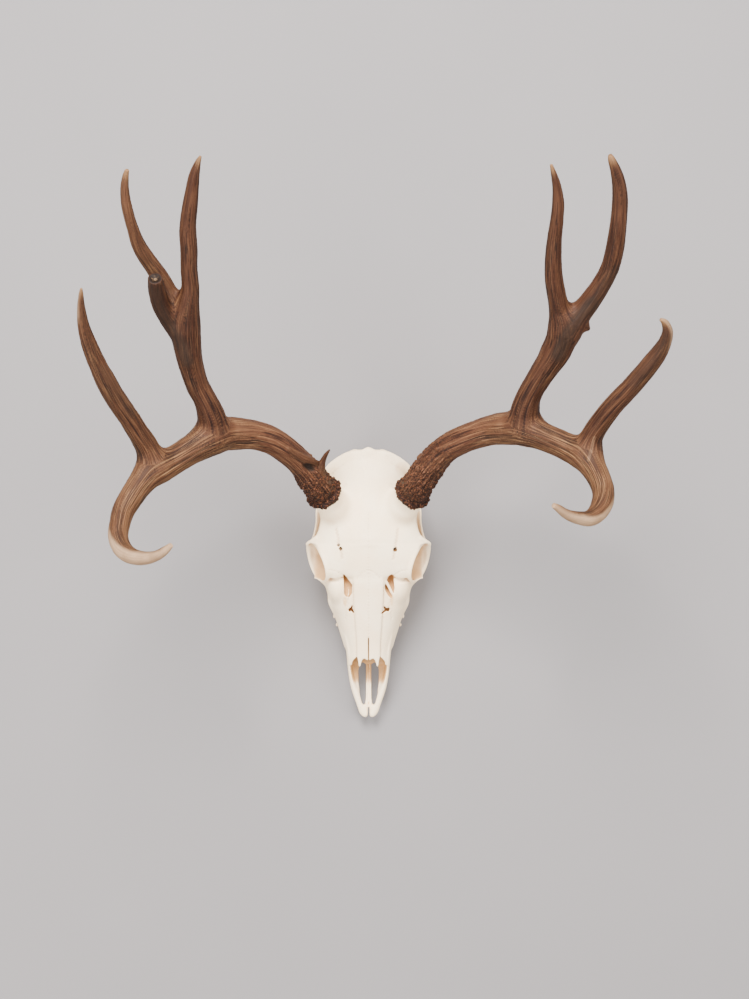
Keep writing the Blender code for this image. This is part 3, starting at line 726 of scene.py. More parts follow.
# Tooth enamel, with the heights in metres up to which the chewing face is stained
ENAMEL_CREAM = (0.78, 0.66, 0.48)
ENAMEL_PALE = (0.86, 0.76, 0.60)
ENAMEL_PIT = (0.35, 0.22, 0.12)
CHEWED_BROWN = (0.22, 0.13, 0.07)
CHEWED_HEIGHTS = (0.0005, 0.0035)

# Antler, from its body to its forks, its foot at the burr, its tips and the broken stub's core
ANTLER_DEEP = (0.042, 0.0135, 0.0061)
ANTLER_BROWN = (0.064, 0.0235, 0.0113)
BAND_DARK = (0.018, 0.007, 0.004)
BAND_LIGHT = (0.105, 0.0435, 0.0216)
RIDGE_TAN = (0.15, 0.067, 0.031)
GROOVE_DARK = (0.012, 0.0048, 0.0032)
STREAK_LIGHT = (0.19, 0.093, 0.044)
STREAK_DARK = (0.013, 0.0052, 0.0033)
# Painted shade and painted highlight along the given lines
PAINTED_SHADE = (0.016, 0.0091, 0.0059)
PAINTED_HIGHLIGHT = (0.34, 0.205, 0.115)
FOOT_DARK = (0.009, 0.003, 0.0018)
# Painted highlight and painted shade as specks over the pearled foot
FOOT_LIT = (0.22, 0.074, 0.028)
FOOT_SPECK_SHADE = (0.0075, 0.0027, 0.0016)
PEARL_RED = (0.06, 0.02, 0.009)
PEARL_GLINT = (0.24, 0.113, 0.0675)
# Painted shade in the dents
DENT_SHADE = (0.017, 0.01, 0.0068)
TIP_TAN = (0.24, 0.13, 0.058)
IVORY_WARM = (0.21, 0.125, 0.068)
IVORY_PALE = (0.31, 0.20, 0.118)
IVORY_STREAK = (0.13, 0.068, 0.038)
CORE_DARK = (0.007, 0.0032, 0.0016)
CORE_CHALK = (0.17, 0.10, 0.05)

# Shares of the antler's colour that stay on the rear tines and at the outer ends
REAR_SHADE = (0.56, 0.52, 0.49)
OUTER_GOLD = (1.04, 1.15, 1.06)


Form = namedtuple("Form", "low high distance")


def on_curve(a, b, c, d, u):
    """A place between b and c, on a smooth curve through a, b, c and d."""
    bend = (2 * a - 5 * b + 4 * c - d) * u * u + (3 * b - a - 3 * c + d) * u ** 3
    return 0.5 * (2 * b + (c - a) * u + bend)


def smoothed(points, steps=PATH_STEPS):
    """The same rows with more rows between them, along a curve through every row."""
    rows = np.array(points, float)
    last = len(rows) - 1
    between_rows = [
        on_curve(rows[max(i - 1, 0)], rows[i], rows[i + 1], rows[min(i + 2, last)], step / steps)
        for i in range(last) for step in range(steps)
    ]
    return np.array([*between_rows, rows[-1]], np.float32)


def soft_min(a, b, blend):
    """The lower of two distances, with the crease between them filled over the blend's width."""
    if not blend:
        return np.minimum(a, b)
    near = np.maximum(blend - np.abs(a - b), 0) / blend
    return np.minimum(a, b) - near * near * blend / 4


class Clay:
    """A block of space on a grid that holds how far each place is from the bone's skin."""

    def __init__(self, low, high, step):
        self.low = np.array(low, np.float32)
        self.step = step
        shape = [int(math.ceil((b - a) / step)) + 1 for a, b in zip(low, high)]
        self.field = np.full(shape, FAR, np.float32)

    def patch(self, low, high):
        """The grid's part between two corners, and the places of its points along each axis."""
        first = [max(0, int((a - o) / self.step)) for a, o in zip(low, self.low)]
        last = [
            max(f + 1, min(n, int((b - o) / self.step) + 2))
            for f, b, o, n in zip(first, high, self.low, self.field.shape)
        ]
        x, ahead, z = (
            self.low[k] + self.step * np.arange(first[k], last[k], dtype=np.float32) for k in range(3)
        )
        where = tuple(slice(a, b) for a, b in zip(first, last))
        return where, (x[:, None, None], ahead[None, :, None], z[None, None, :])

    def add(self, form, blend=3.0):
        reach = blend + ROUND_REACH
        where, place = self.patch([a - reach for a in form.low], [b + reach for b in form.high])
        self.field[where] = soft_min(self.field[where], form.distance(*place), blend)

    def cut(self, form, blend=1.5):
        reach = blend + ROUND_REACH
        where, place = self.patch([a - reach for a in form.low], [b + reach for b in form.high])
        self.field[where] = -soft_min(-self.field[where], form.distance(*place), blend)

    def add_pair(self, form, blend=3.0):
        self.add(form, blend)
        self.add(flipped(form), blend)

    def cut_pair(self, form, blend=1.5):
        self.cut(form, blend)
        self.cut(flipped(form), blend)

    def value(self, points):
        """The distance at any points, from the eight grid values around each."""
        at = (points - self.low) / self.step
        base = np.clip(np.floor(at).astype(int), 0, np.array(self.field.shape) - 2)
        part = np.clip(at - base, 0, 1)
        total = 0
        for i in (0, 1):
            for j in (0, 1):
                for k in (0, 1):
                    weight = (
                        (part[:, 0] if i else 1 - part[:, 0])
                        * (part[:, 1] if j else 1 - part[:, 1])
                        * (part[:, 2] if k else 1 - part[:, 2])
                    )
                    total = total + weight * self.field[base[:, 0] + i, base[:, 1] + j, base[:, 2] + k]
        return total

    def outward(self, points):
        """The direction away from the bone at any points."""
        slopes = []
        for axis in range(3):
            shift = np.zeros(3, np.float32)
            shift[axis] = self.step
            slopes.append(self.value(points + shift) - self.value(points - shift))
        slope = np.stack(slopes, 1)
        return slope / np.maximum(np.linalg.norm(slope, axis=1, keepdims=True), 1e-6)


def flipped(form):
    """The same form on the other side of the head."""
    low = (-form.high[0], form.low[1], form.low[2])
    high = (-form.low[0], form.high[1], form.high[2])
    return Form(low, high, lambda x, ahead, z: form.distance(-x[::-1], ahead, z)[::-1])


def egg(middle, radii):
    """An egg shape, with a middle and three radii."""
    def distance(x, ahead, z):
        u, v, w = ((place - m) / r for place, m, r in zip((x, ahead, z), middle, radii))
        size = np.sqrt(u * u + v * v + w * w)
        steep = np.sqrt((u / radii[0]) ** 2 + (v / radii[1]) ** 2 + (w / radii[2]) ** 2)
        return size * (size - 1) / np.maximum(steep, 1e-4)
    low = [m - r for m, r in zip(middle, radii)]
    high = [m + r for m, r in zip(middle, radii)]
    return Form(low, high, distance)


def loft(rows, power=SECTION_POWER):
    """A body along the head from rows of (ahead, half width, bottom, waist, top)."""
    path = smoothed(rows)
    lengths = path[:, 0]

    def distance(x, ahead, z):
        half, bottom, waist, top = (
            np.interp(ahead, lengths, path[:, k]).astype(np.float32) for k in (1, 2, 3, 4)
        )
        tall = np.where(z > waist, top - waist, waist - bottom)
        u = np.abs(x) / half
        v = np.abs(z - waist) / tall
        size = (u ** power + v ** power) ** (1 / power) + 1e-4
        steep = np.sqrt((u ** (power - 1) / half) ** 2 + (v ** (power - 1) / tall) ** 2)
        wall = (size - 1) / np.maximum(steep * size ** (1 - power), 1e-3)
        return np.maximum(wall, np.maximum(lengths[0] - ahead, ahead - lengths[-1]))
    widest = path[:, 1].max()
    low = (-widest, lengths[0], path[:, 2].min())
    high = (widest, lengths[-1], path[:, 4].max())
    return Form(low, high, distance)


def plate(rows, thickness, edge_round=2.5):
    """A crowned plate from rows of (ahead, half width, middle height, edge height)."""
    path = smoothed(rows)
    lengths = path[:, 0]

    def distance(x, ahead, z):
        half, middle, edge = (np.interp(ahead, lengths, path[:, k]).astype(np.float32) for k in (1, 2, 3))
        share = np.minimum(np.abs(x) / half, 1.2)
        top = edge + (middle - edge) * (1 - share * share)
        steep = np.sqrt(1 + (2 * (middle - edge) * share / half) ** 2)
        slab = np.abs(z - top + thickness / 2) / steep - thickness / 2
        sides = np.abs(x) - half
        ends = np.maximum(lengths[0] - ahead, ahead - lengths[-1])
        return -soft_min(-slab, -np.maximum(sides, ends), edge_round)
    widest = path[:, 1].max()
    low = (-widest, lengths[0], path[:, 3].min() - thickness)
    high = (widest, lengths[-1], path[:, 2].max())
    return Form(low, high, distance)


def tube(rows, up=(0, 0, 1), steps=4):
    """A tube along rows of (x, ahead, z, radius across, radius up), or with one radius."""
    path = smoothed(rows, steps)
    middles = path[:, :3]
    wide, tall = path[:, 3], path[:, -1]
    low = (middles - wide.max()).min(0) - tall.max()
    high = (middles + wide.max()).max(0) + tall.max()

    def distance(x, ahead, z):
        result = np.full(np.broadcast_shapes(x.shape, ahead.shape, z.shape), FAR, np.float32)
        for a, b, w0, w1, t0, t1 in zip(middles, middles[1:], wide, wide[1:], tall, tall[1:]):
            along = b - a
            length = float(np.linalg.norm(along))
            along = along / length
            across = np.cross(along, up)
            across = across / np.linalg.norm(across)
            lift = np.cross(across, along)
            reach = max(w0, w1, t0, t1) + ROUND_REACH + 1
            near = []
            for axis, place in enumerate((x, ahead, z)):
                flat = place.ravel()
                start = np.searchsorted(flat, min(a[axis], b[axis]) - reach)
                end = np.searchsorted(flat, max(a[axis], b[axis]) + reach)
                near.append(slice(start, max(end, start)))
            nearby = tuple(near)
            px = x[near[0]] - a[0]
            pa = ahead[:, near[1]] - a[1]
            pz = z[:, :, near[2]] - a[2]
            run = px * along[0] + pa * along[1] + pz * along[2]
            share = np.clip(run / length, 0, 1)
            over = run - share * length
            rw = w0 + (w1 - w0) * share
            rt = t0 + (t1 - t0) * share
            u = (px * across[0] + pa * across[1] + pz * across[2]) / rw
            v = (px * lift[0] + pa * lift[1] + pz * lift[2]) / rt
            cap = np.minimum(rw, rt)
            w = over / cap
            size = np.sqrt(u * u + v * v + w * w)
            steep = np.sqrt((u / rw) ** 2 + (v / rt) ** 2 + (w / cap) ** 2)
            here = size * (size - 1) / np.maximum(steep, 1e-4)
            result[nearby] = np.minimum(result[nearby], here)
        return result
    return Form(tuple(low), tuple(high), distance)


def prism(outline, bottom, top):
    """An upright solid over an outline of (x, ahead)."""
    corners = np.array(outline, np.float32)

    def distance(x, ahead, z):
        px, pa = x[:, :, 0], ahead[:, :, 0]
        nearest = np.full(np.broadcast_shapes(px.shape, pa.shape), FAR * FAR, np.float32)
        inside = np.zeros(nearest.shape, bool)
        for (ax, ay), (bx, by) in zip(corners, np.roll(corners, -1, 0)):
            ex, ey = bx - ax, by - ay
            share = np.clip(((px - ax) * ex + (pa - ay) * ey) / (ex * ex + ey * ey), 0, 1)
            nearest = np.minimum(nearest, (px - ax - share * ex) ** 2 + (pa - ay - share * ey) ** 2)
            crosses = (pa < ay) != (pa < by)
            slope = ex / ey if ey else 0
            inside ^= crosses & (px < ax + (pa - ay) * slope)
        flat = np.where(inside, -np.sqrt(nearest), np.sqrt(nearest))[:, :, None]
        return np.maximum(flat, np.maximum(bottom - z, z - top))
    low = (*corners.min(0), bottom)
    high = (*corners.max(0), top)
    return Form(low, high, distance)


def block(x_range, ahead_range, z_range):
    (x0, x1), (a0, a1), (z0, z1) = x_range, ahead_range, z_range
    return prism(((x0, a0), (x1, a0), (x1, a1), (x0, a1)), z0, z1)


def eye_ring():
    """The raised rim round the eye opening."""
    reach = EYE_RADIUS + EYE_RIM_RADIUS + 2

    def distance(x, ahead, z):
        da, dz = ahead - EYE[1], z - EYE[2]
        away = np.sqrt(da * da + dz * dz) + 1e-3
        rim_x = EYE[0] - EYE_LEAN_AHEAD * da / away - EYE_LEAN_UP * dz / away
        return np.sqrt((away - EYE_RADIUS) ** 2 + ((x - rim_x) * 0.9) ** 2) - EYE_RIM_RADIUS
    low = (EYE[0] - 14, EYE[1] - reach, EYE[2] - reach)
    high = (EYE[0] + 14, EYE[1] + reach, EYE[2] + reach)
    return Form(low, high, distance)


def eye_cup():
    """The floor under the eye, as thick walls that the eye hollow leaves thin."""
    middle, radii = EYE_HOLLOW
    bowl = egg(middle, tuple(radius + EYE_CUP_GROWTH for radius in radii))
    cap_x = middle[0] + CUP_REACH

    def distance(x, ahead, z):
        return np.maximum(bowl.distance(x, ahead, z), np.maximum(z - EYE_CUP_TOP, x - cap_x))
    return Form(bowl.low, (cap_x, bowl.high[1], EYE_CUP_TOP), distance)


def beyond_plane(middle, normal, low, high):
    """Everything on the far side of a plane, between two corners."""
    nx, na, nz = np.array(normal) / np.linalg.norm(normal)

    def distance(x, ahead, z):
        return -((x - middle[0]) * nx + (ahead - middle[1]) * na + (z - middle[2]) * nz)
    return Form(low, high, distance)


def net(clay):
    """The skin of a clay block as places and four-cornered faces, facing out."""
    inside = clay.field < 0
    cells = [np.s_[i:inside.shape[0] - 1 + i, j:inside.shape[1] - 1 + j, k:inside.shape[2] - 1 + k]
             for i in (0, 1) for j in (0, 1) for k in (0, 1)]
    count = sum(inside[cell].astype(np.int8) for cell in cells)
    active = np.argwhere((count > 0) & (count < 8))
    corners = np.array([(i, j, k) for i in (0, 1) for j in (0, 1) for k in (0, 1)])
    values = np.stack([clay.field[tuple((active + c).T)] for c in corners], 1)
    total = np.zeros((len(active), 3), np.float32)
    crossings = np.zeros((len(active), 1), np.float32)
    for a in range(8):
        for b in range(a + 1, 8):
            if np.abs(corners[a] - corners[b]).sum() != 1:
                continue
            fa, fb = values[:, a], values[:, b]
            crossed = (fa < 0) != (fb < 0)
            share = np.where(crossed, fa / np.where(crossed, fa - fb, 1), 0)[:, None]
            spot = corners[a] + share * (corners[b] - corners[a])
            total += spot * crossed[:, None]
            crossings += crossed[:, None]
    places = clay.low + clay.step * (active + total / crossings)
    number = np.full(count.shape, -1, np.int32)
    number[tuple(active.T)] = np.arange(len(active))
    faces = []
    for axis in range(3):
        size = np.array(inside.shape)
        near = inside.take(range(size[axis] - 1), axis)
        far = inside.take(range(1, size[axis]), axis)
        edges = np.argwhere(near != far)
        others = [k for k in range(3) if k != axis]
        side = edges[:, others]
        edges = edges[np.all((side > 0) & (side < size[others] - 1), axis=1)]
        rings = []
        for shift in ((0, 0), (1, 0), (1, 1), (0, 1)):
            cell = edges.copy()
            cell[:, others] -= shift
            rings.append(number[tuple(cell.T)])
        quads = np.stack(rings, 1)
        leaving = near[tuple(edges.T)]
        # The two other axes of the middle axis turn the other way round
        if axis == 1:
            leaving = ~leaving
        quads[~leaving] = quads[~leaving][:, ::-1]
        faces.append(quads)
    return places, np.concatenate(faces)


def to_world(places):
    """Skull places (x, ahead, z) in millimetres as world places in metres."""
    world = np.empty_like(places)
    world[:, 0] = places[:, 0] - BOX_MIDDLE[0]
    world[:, 1] = -places[:, 1] - BOX_MIDDLE[1]
    world[:, 2] = places[:, 2]
    return world * MM


def in_world(mirror, x, y, z):
    """A place of one side in the world."""
    return Vector((x * mirror - BOX_MIDDLE[0], y - BOX_MIDDLE[1], z)) * MM


def mesh_object(name, places, faces):
    mesh = bpy.data.meshes.new(name)
    mesh.from_pydata(places.tolist(), [], faces.tolist())
    made = bpy.data.objects.new(name, mesh)
    bpy.context.scene.collection.objects.link(made)
    return made


def places_of(mesh):
    """The places of a mesh as rows of x, y and z."""
    flat = np.empty(len(mesh.vertices) * 3, np.float32)
    mesh.vertices.foreach_get("co", flat)
    return flat.reshape(-1, 3)


def applied(item):
    """Turns an object's modifiers into its mesh."""
    graph = bpy.context.evaluated_depsgraph_get()
    mesh = bpy.data.meshes.new_from_object(item.evaluated_get(graph), depsgraph=graph)
    item.modifiers.clear()
    item.data = mesh
    return item


# Shaping the skull

def shape_skull():
    clay = Clay(*BONE_BLOCK, BONE_STEP)
    clay.add(loft(CRANIUM), 0)
    clay.add(loft(FACE), 4)
    clay.add(plate(FOREHEAD, FOREHEAD_THICKNESS), 5)
    clay.add(tube(SKULL_BASE), 4)
    clay.add_pair(egg(*TEAR_BONE), 5)
    clay.add_pair(egg(*BROW), 5)
    clay.add_pair(eye_cup(), 3)
    clay.add_pair(tube(CHEEK_ROOT), 5)
    clay.add_pair(tube(CHEEK_ARCH, up=ARCH_UP), 4)
    clay.add_pair(tube(TOOTH_RIDGE), 5)
    clay.add_pair(tube(EYE_BACK_BAR, up=(0, 1, 0)), 4)
    clay.add_pair(tube(EYE_CORNER), 2)
    clay.add_pair(eye_ring(), 3)
    clay.add_pair(tube(CREST), 3)
    clay.add_pair(tube(STALK, up=(0, 1, 0)), 7)
    clay.add_pair(egg(*CONDYLE), 3)
    clay.add_pair(egg(*EAR_DRUM), 2)
    clay.add_pair(egg(*EAR_TUBE), 3)
    clay.add_pair(tube(SIDE_SPUR, up=(0, 1, 0)), 4)
    clay.add_pair(tube(WING), 2)

    clay.cut(loft(NOSE_HOLLOW), 2)
    clay.cut(egg(*CHOANA), 2)
    clay.cut(egg(*BRAIN_HOLLOW), 2)
    clay.cut(tube(BACK_HOLE), 3)
    for middle, radii in (EYE_HOLLOW, EYE_DEPTH, TEAR_PIT):
        clay.cut_pair(egg(middle, radii), 2.5)
    clay.add(plate([(a, w, top, top - NASAL_CROWN) for a, w, top in NASALS], NASAL_THICKNESS), 0.8)
    clay.add_pair(tube(NOSE_WALL), 1.5)
    clay.add_pair(tube(PALATE_SHELF), 5)
    clay.add_pair(tube(MIDDLE_BAR), 0.6)
    clay.add(tube(MIDDLE_WEB), 0.8)
    clay.add_pair(egg(*TIP_BODY), 2.5)
    clay.add_pair(egg(*TIP_LOBE), 1.5)
    for middle, radii in TOOTH_BUMPS:
        clay.add_pair(egg(middle, radii), 1.0)

    first, last, width, bottom, top = NOSE_SLIT
    clay.cut(block((-width / 2, width / 2), (first, last), (bottom, top)), 0.6)
    first, last, width, bottom, top = TIP_NOTCH
    clay.cut(block((-width / 2, width / 2), (first, last), (bottom, top)), 1.5)
    left_outlines = ((LEFT_TEAR_GAP, TEAR_GAP_HEIGHTS), (LEFT_CHIP, CHIP_HEIGHTS))
    right_outlines = (*((gap, TEAR_GAP_HEIGHTS) for gap in RIGHT_TEAR_GAPS), (RIGHT_CHIP, CHIP_HEIGHTS))
    for outline, heights in left_outlines:
        clay.cut(flipped(prism(outline, *heights)), 0.9)
    for outline, heights in right_outlines:
        clay.cut(prism(outline, *heights), 0.9)
    clay.cut_pair(tube(TEAR_NOTCH), 2.5)
    for scroll in TEAR_SCROLLS:
        clay.add(tube(scroll), 0.6)
    low, high = BLOOD_HOLE_HEIGHTS
    for (x, ahead), radius in BLOOD_HOLES:
        clay.cut(tube(((x, ahead, low, radius), (x, ahead, high, radius)), up=(0, 1, 0)), 0.8)
    clay.cut_pair(prism(PALATE_SLOT, *PALATE_SLOT_HEIGHTS), 1.0)
    clay.cut_pair(prism(NOSE_ARCH, *NOSE_EDGE_HEIGHTS), 0.5)
    clay.cut_pair(prism(NOSE_EAR, *NOSE_EDGE_HEIGHTS), 0.5)
    for (sides, ahead), top in ((GUM_CUT, GUM_LINE), (FOOT_CUT, 0)):
        clay.cut_pair(block(sides, ahead, (UNDER_ALL, top)), 0)
    stalk_low = tuple(m - STALK_CUT_REACH for m in BURR_MIDDLE)
    stalk_high = tuple(m + STALK_CUT_REACH for m in BURR_MIDDLE)
    nx, na, nz = BURR_NORMAL
    clay.cut_pair(beyond_plane(BURR_MIDDLE, (nx, -na, nz), stalk_low, stalk_high), 0)
    return clay


# Node trees

def add(tree, kind, values=None, **settings):
    """A new node with its settings; each value is a plain value or another node's output."""
    node = tree.nodes.new(kind)
    for name, setting in settings.items():
        setattr(node, name, setting)
    for key, value in (values or {}).items():
        socket = node.inputs[key]
        if isinstance(value, bpy.types.NodeSocket):
            tree.links.new(value, socket)
        else:
            socket.default_value = value
    return node


def maths(tree, operation, a, b=0.0):
    return add(tree, "ShaderNodeMath", {0: a, 1: b}, operation=operation).outputs[0]


def times(tree, a, b):
    return maths(tree, "MULTIPLY", a, b)


def plus(tree, a, b):
    return maths(tree, "ADD", a, b)


def minus(tree, a, b):
    return maths(tree, "SUBTRACT", a, b)


def per(tree, size):
    """How many of a size go into one unit."""
    return maths(tree, "DIVIDE", 1.0, size)


def scaled(tree, vector, factor):
    values = {0: vector, "Scale": factor}
    return add(tree, "ShaderNodeVectorMath", values, operation="SCALE").outputs[0]


def spread(tree, value, low, high, to_low=0.0, to_high=1.0, smooth=True):
    """A value moved from one range to another and kept inside it."""
    kind = "SMOOTHSTEP" if smooth else "LINEAR"
    values = {"Value": value, "From Min": low, "From Max": high, "To Min": to_low, "To Max": to_high}
    return add(tree, "ShaderNodeMapRange", values, interpolation_type=kind).outputs["Result"]


def between(tree, share, a, b):
    """A number between two numbers."""
    return add(tree, "ShaderNodeMix", {0: share, 2: a, 3: b}, data_type="FLOAT").outputs[0]


def tinted(tree, share, a, b, blend="MIX"):
    """A colour between two colours."""
    colours = {key: value if isinstance(value, bpy.types.NodeSocket) else (*value, 1)
               for key, value in ((6, a), (7, b))}
    node = add(tree, "ShaderNodeMix", {0: share, **colours}, data_type="RGBA", blend_type=blend)
    return node.outputs[2]


def stretched(tree, vector, across, along):
    """A vector in millimetres, scaled so that one unit is a width across and a length along z."""
    scale = (1 / across, 1 / across, 1 / along)
    return add(tree, "ShaderNodeVectorMath", {0: vector, 1: scale}, operation="MULTIPLY").outputs[0]


def noise(tree, vector, scale=1.0, detail=3.0, roughness=0.55):
    values = {"Vector": vector, "Scale": scale, "Detail": detail, "Roughness": roughness}
    return add(tree, "ShaderNodeTexNoise", values).outputs[0]


def new_group(kind, name, inputs, outputs):
    """A node group with its inputs as (name, socket kind, value) and its outputs as (name, socket kind)."""
    tree = bpy.data.node_groups.new(name, kind)
    for label, socket, value in inputs:
        made = tree.interface.new_socket(label, in_out="INPUT", socket_type="NodeSocket" + socket)
        if value is not None:
            made.default_value = value
    for label, socket in outputs:
        tree.interface.new_socket(label, in_out="OUTPUT", socket_type="NodeSocket" + socket)
    return tree, add(tree, "NodeGroupInput").outputs, add(tree, "NodeGroupOutput")


def finish_group(tree, end, **results):
    for name, value in results.items():
        tree.links.new(value, end.inputs[name])


def stored(tree, geometry, name, value, kind="FLOAT"):
    node = add(tree, "GeometryNodeStoreNamedAttribute", {"Geometry": geometry, "Name": name}, data_type=kind)
    tree.links.new(value, node.inputs["Value"])
    return node.outputs[0]


def named(tree, name, kind="FLOAT"):
    """What a mesh has stored under a name, for its relief."""
    return add(tree, "GeometryNodeInputNamedAttribute", {"Name": name}, data_type=kind).outputs[0]


def worked(item, tree, finish, sizes):
    """Runs a Geometry Nodes tree with its sizes on an object and keeps the result as its plain mesh."""
    step = item.modifiers.new("Relief", "NODES")
    step.node_group = tree
    values = {"Finish": finish, **sizes}
    for socket in tree.interface.items_tree:
        if socket.in_out == "INPUT" and socket.name in values:
            step[socket.identifier] = values[socket.name]
    return applied(item)


# Relief

def relief_group(name, sizes):
    """A Geometry Nodes group with inputs for a piece's geometry, its finish and its relief's sizes."""
    inputs = [("Geometry", "Geometry", None), ("Finish", "Material", None)]
    inputs += [(label, "Float", size) for label, size in sizes.items()]
    return new_group("GeometryNodeTree", name, inputs, [("Geometry", "Geometry")])


def pushed_out(tree, geometry, height):
    """The geometry with each place moved out by a height in millimetres."""
    normal = add(tree, "GeometryNodeInputNormal").outputs[0]
    offset = scaled(tree, normal, times(tree, height, MM))
    return add(tree, "GeometryNodeSetPosition", {"Geometry": geometry, "Offset": offset}).outputs[0]


def end_relief(tree, geometry, given, end):
    """Ends a relief tree with plain geometry in its finish."""
    real = add(tree, "GeometryNodeRealizeInstances", {"Geometry": geometry}).outputs[0]
    done = add(tree, "GeometryNodeSetMaterial", {"Geometry": real, "Material": given["Finish"]}).outputs[0]
    finish_group(tree, end, Geometry=done)
    return tree


def bone_relief_tree():
    """Fine unevenness, pits and hairline seams on bone."""
    tree, given, end = relief_group("Bone relief", BONE_RELIEF)
    place = scaled(tree, add(tree, "GeometryNodeInputPosition").outputs[0], 1 / MM)
    swell = minus(tree, noise(tree, place, per(tree, given["Swell Size"]), 2), 0.5)
    grain = minus(tree, noise(tree, place, per(tree, given["Grain Size"]), 3), 0.5)
    cells = add(tree, "ShaderNodeTexVoronoi", {"Vector": place, "Scale": per(tree, given["Pit Size"])})
    pit = times(tree, spread(tree, cells.outputs["Distance"], 0.35, 0.0), named(tree, "porous"))
    height = times(tree, swell, given["Swell Height"])
    height = plus(tree, height, times(tree, grain, given["Grain Height"]))
    height = minus(tree, height, times(tree, pit, given["Pit Depth"]))
    height = minus(tree, height, times(tree, named(tree, "seam"), given["Seam Depth"]))
    moved = pushed_out(tree, given["Geometry"], times(tree, height, named(tree, "soft")))
    return end_relief(tree, moved, given, end)


def antler_relief_tree():
    """Long grooves that follow each limb, fine grain, and pearls towards the burr."""
    tree, given, end = relief_group("Antler relief", ANTLER_RELIEF)
    rough = named(tree, "rough")

    def along(flow, width, length):
        """The grain's place with a width across and a length along as its units."""
        scale = add(tree, "ShaderNodeCombineXYZ",
                    {0: per(tree, width), 1: per(tree, width), 2: per(tree, length)}).outputs[0]
        return add(tree, "ShaderNodeVectorMath", {0: flow, 1: scale}, operation="MULTIPLY").outputs[0]

    grooves, grains = [], []
    for name in ("flow_a", "flow_b"):
        flow = named(tree, name, "FLOAT_VECTOR")
        wave = noise(tree, along(flow, given["Groove Width"], given["Groove Length"]), 1.0, 2, 0.5)
        grooves.append(spread(tree, maths(tree, "ABSOLUTE", minus(tree, wave, 0.5)), 0.0, 0.09))
        length = times(tree, given["Grain Width"], GRAIN_LENGTHS)
        grains.append(noise(tree, along(flow, given["Grain Width"], length), 1.0, 3, 0.6))
    fork = named(tree, "fork")
    groove = between(tree, fork, *grooves)
    grain = between(tree, fork, *grains)
    place = scaled(tree, add(tree, "GeometryNodeInputPosition").outputs[0], 1 / MM)
    swell = noise(tree, place, SWELLS_PER_MM, 2)

    wobble = add(tree, "ShaderNodeTexNoise", {"Vector": place, "Scale": 0.22, "Detail": 1.0}).outputs["Color"]
    drawn_out = along(named(tree, "flow_a", "FLOAT_VECTOR"), 1.0, PEARL_LENGTHS)
    bent = {0: drawn_out, 1: scaled(tree, wobble, 2.5)}
    bent = add(tree, "ShaderNodeVectorMath", bent, operation="ADD").outputs[0]
    long_pearls, round_pearls = (
        add(tree, "ShaderNodeTexVoronoi", {"Vector": vector, "Scale": per(tree, given["Pearl Size"])}).outputs
        for vector in (bent, place)
    )
    near_burr = spread(tree, named(tree, "from_burr"), 3.0, 9.0, 1.0, 0.0)
    apart = between(tree, near_burr, long_pearls["Distance"], round_pearls["Distance"])
    dome = spread(tree, apart, 0.75, 0.12)
    lot = add(tree, "FunctionNodeSeparateColor", {0: long_pearls["Color"]}).outputs[0]
    chosen = spread(tree, plus(tree, lot, minus(tree, rough, 1.0)), 0.0, 0.35)
    pearl = times(tree, times(tree, dome, chosen), spread(tree, rough, 0.0, 0.5))

    height = times(tree, minus(tree, groove, 1.0), given["Groove Depth"])
    height = plus(tree, height, times(tree, minus(tree, grain, 0.5), given["Grain Depth"]))
    calm = times(tree, minus(tree, 1.0, named(tree, "bare")), spread(tree, rough, 0.2, 1.0, 1.0, 0.45))
    height = times(tree, height, calm)
    height = plus(tree, height, times(tree, minus(tree, swell, 0.5), given["Swell Height"]))
    height = plus(tree, height, times(tree, pearl, given["Pearl Height"]))
    marked = pushed_out(tree, given["Geometry"], times(tree, height, named(tree, "thickness")))
    for name, value in (("groove", groove), ("grain", grain), ("pearl", pearl)):
        marked = stored(tree, marked, name, value)
    return end_relief(tree, marked, given, end)


# Antlers

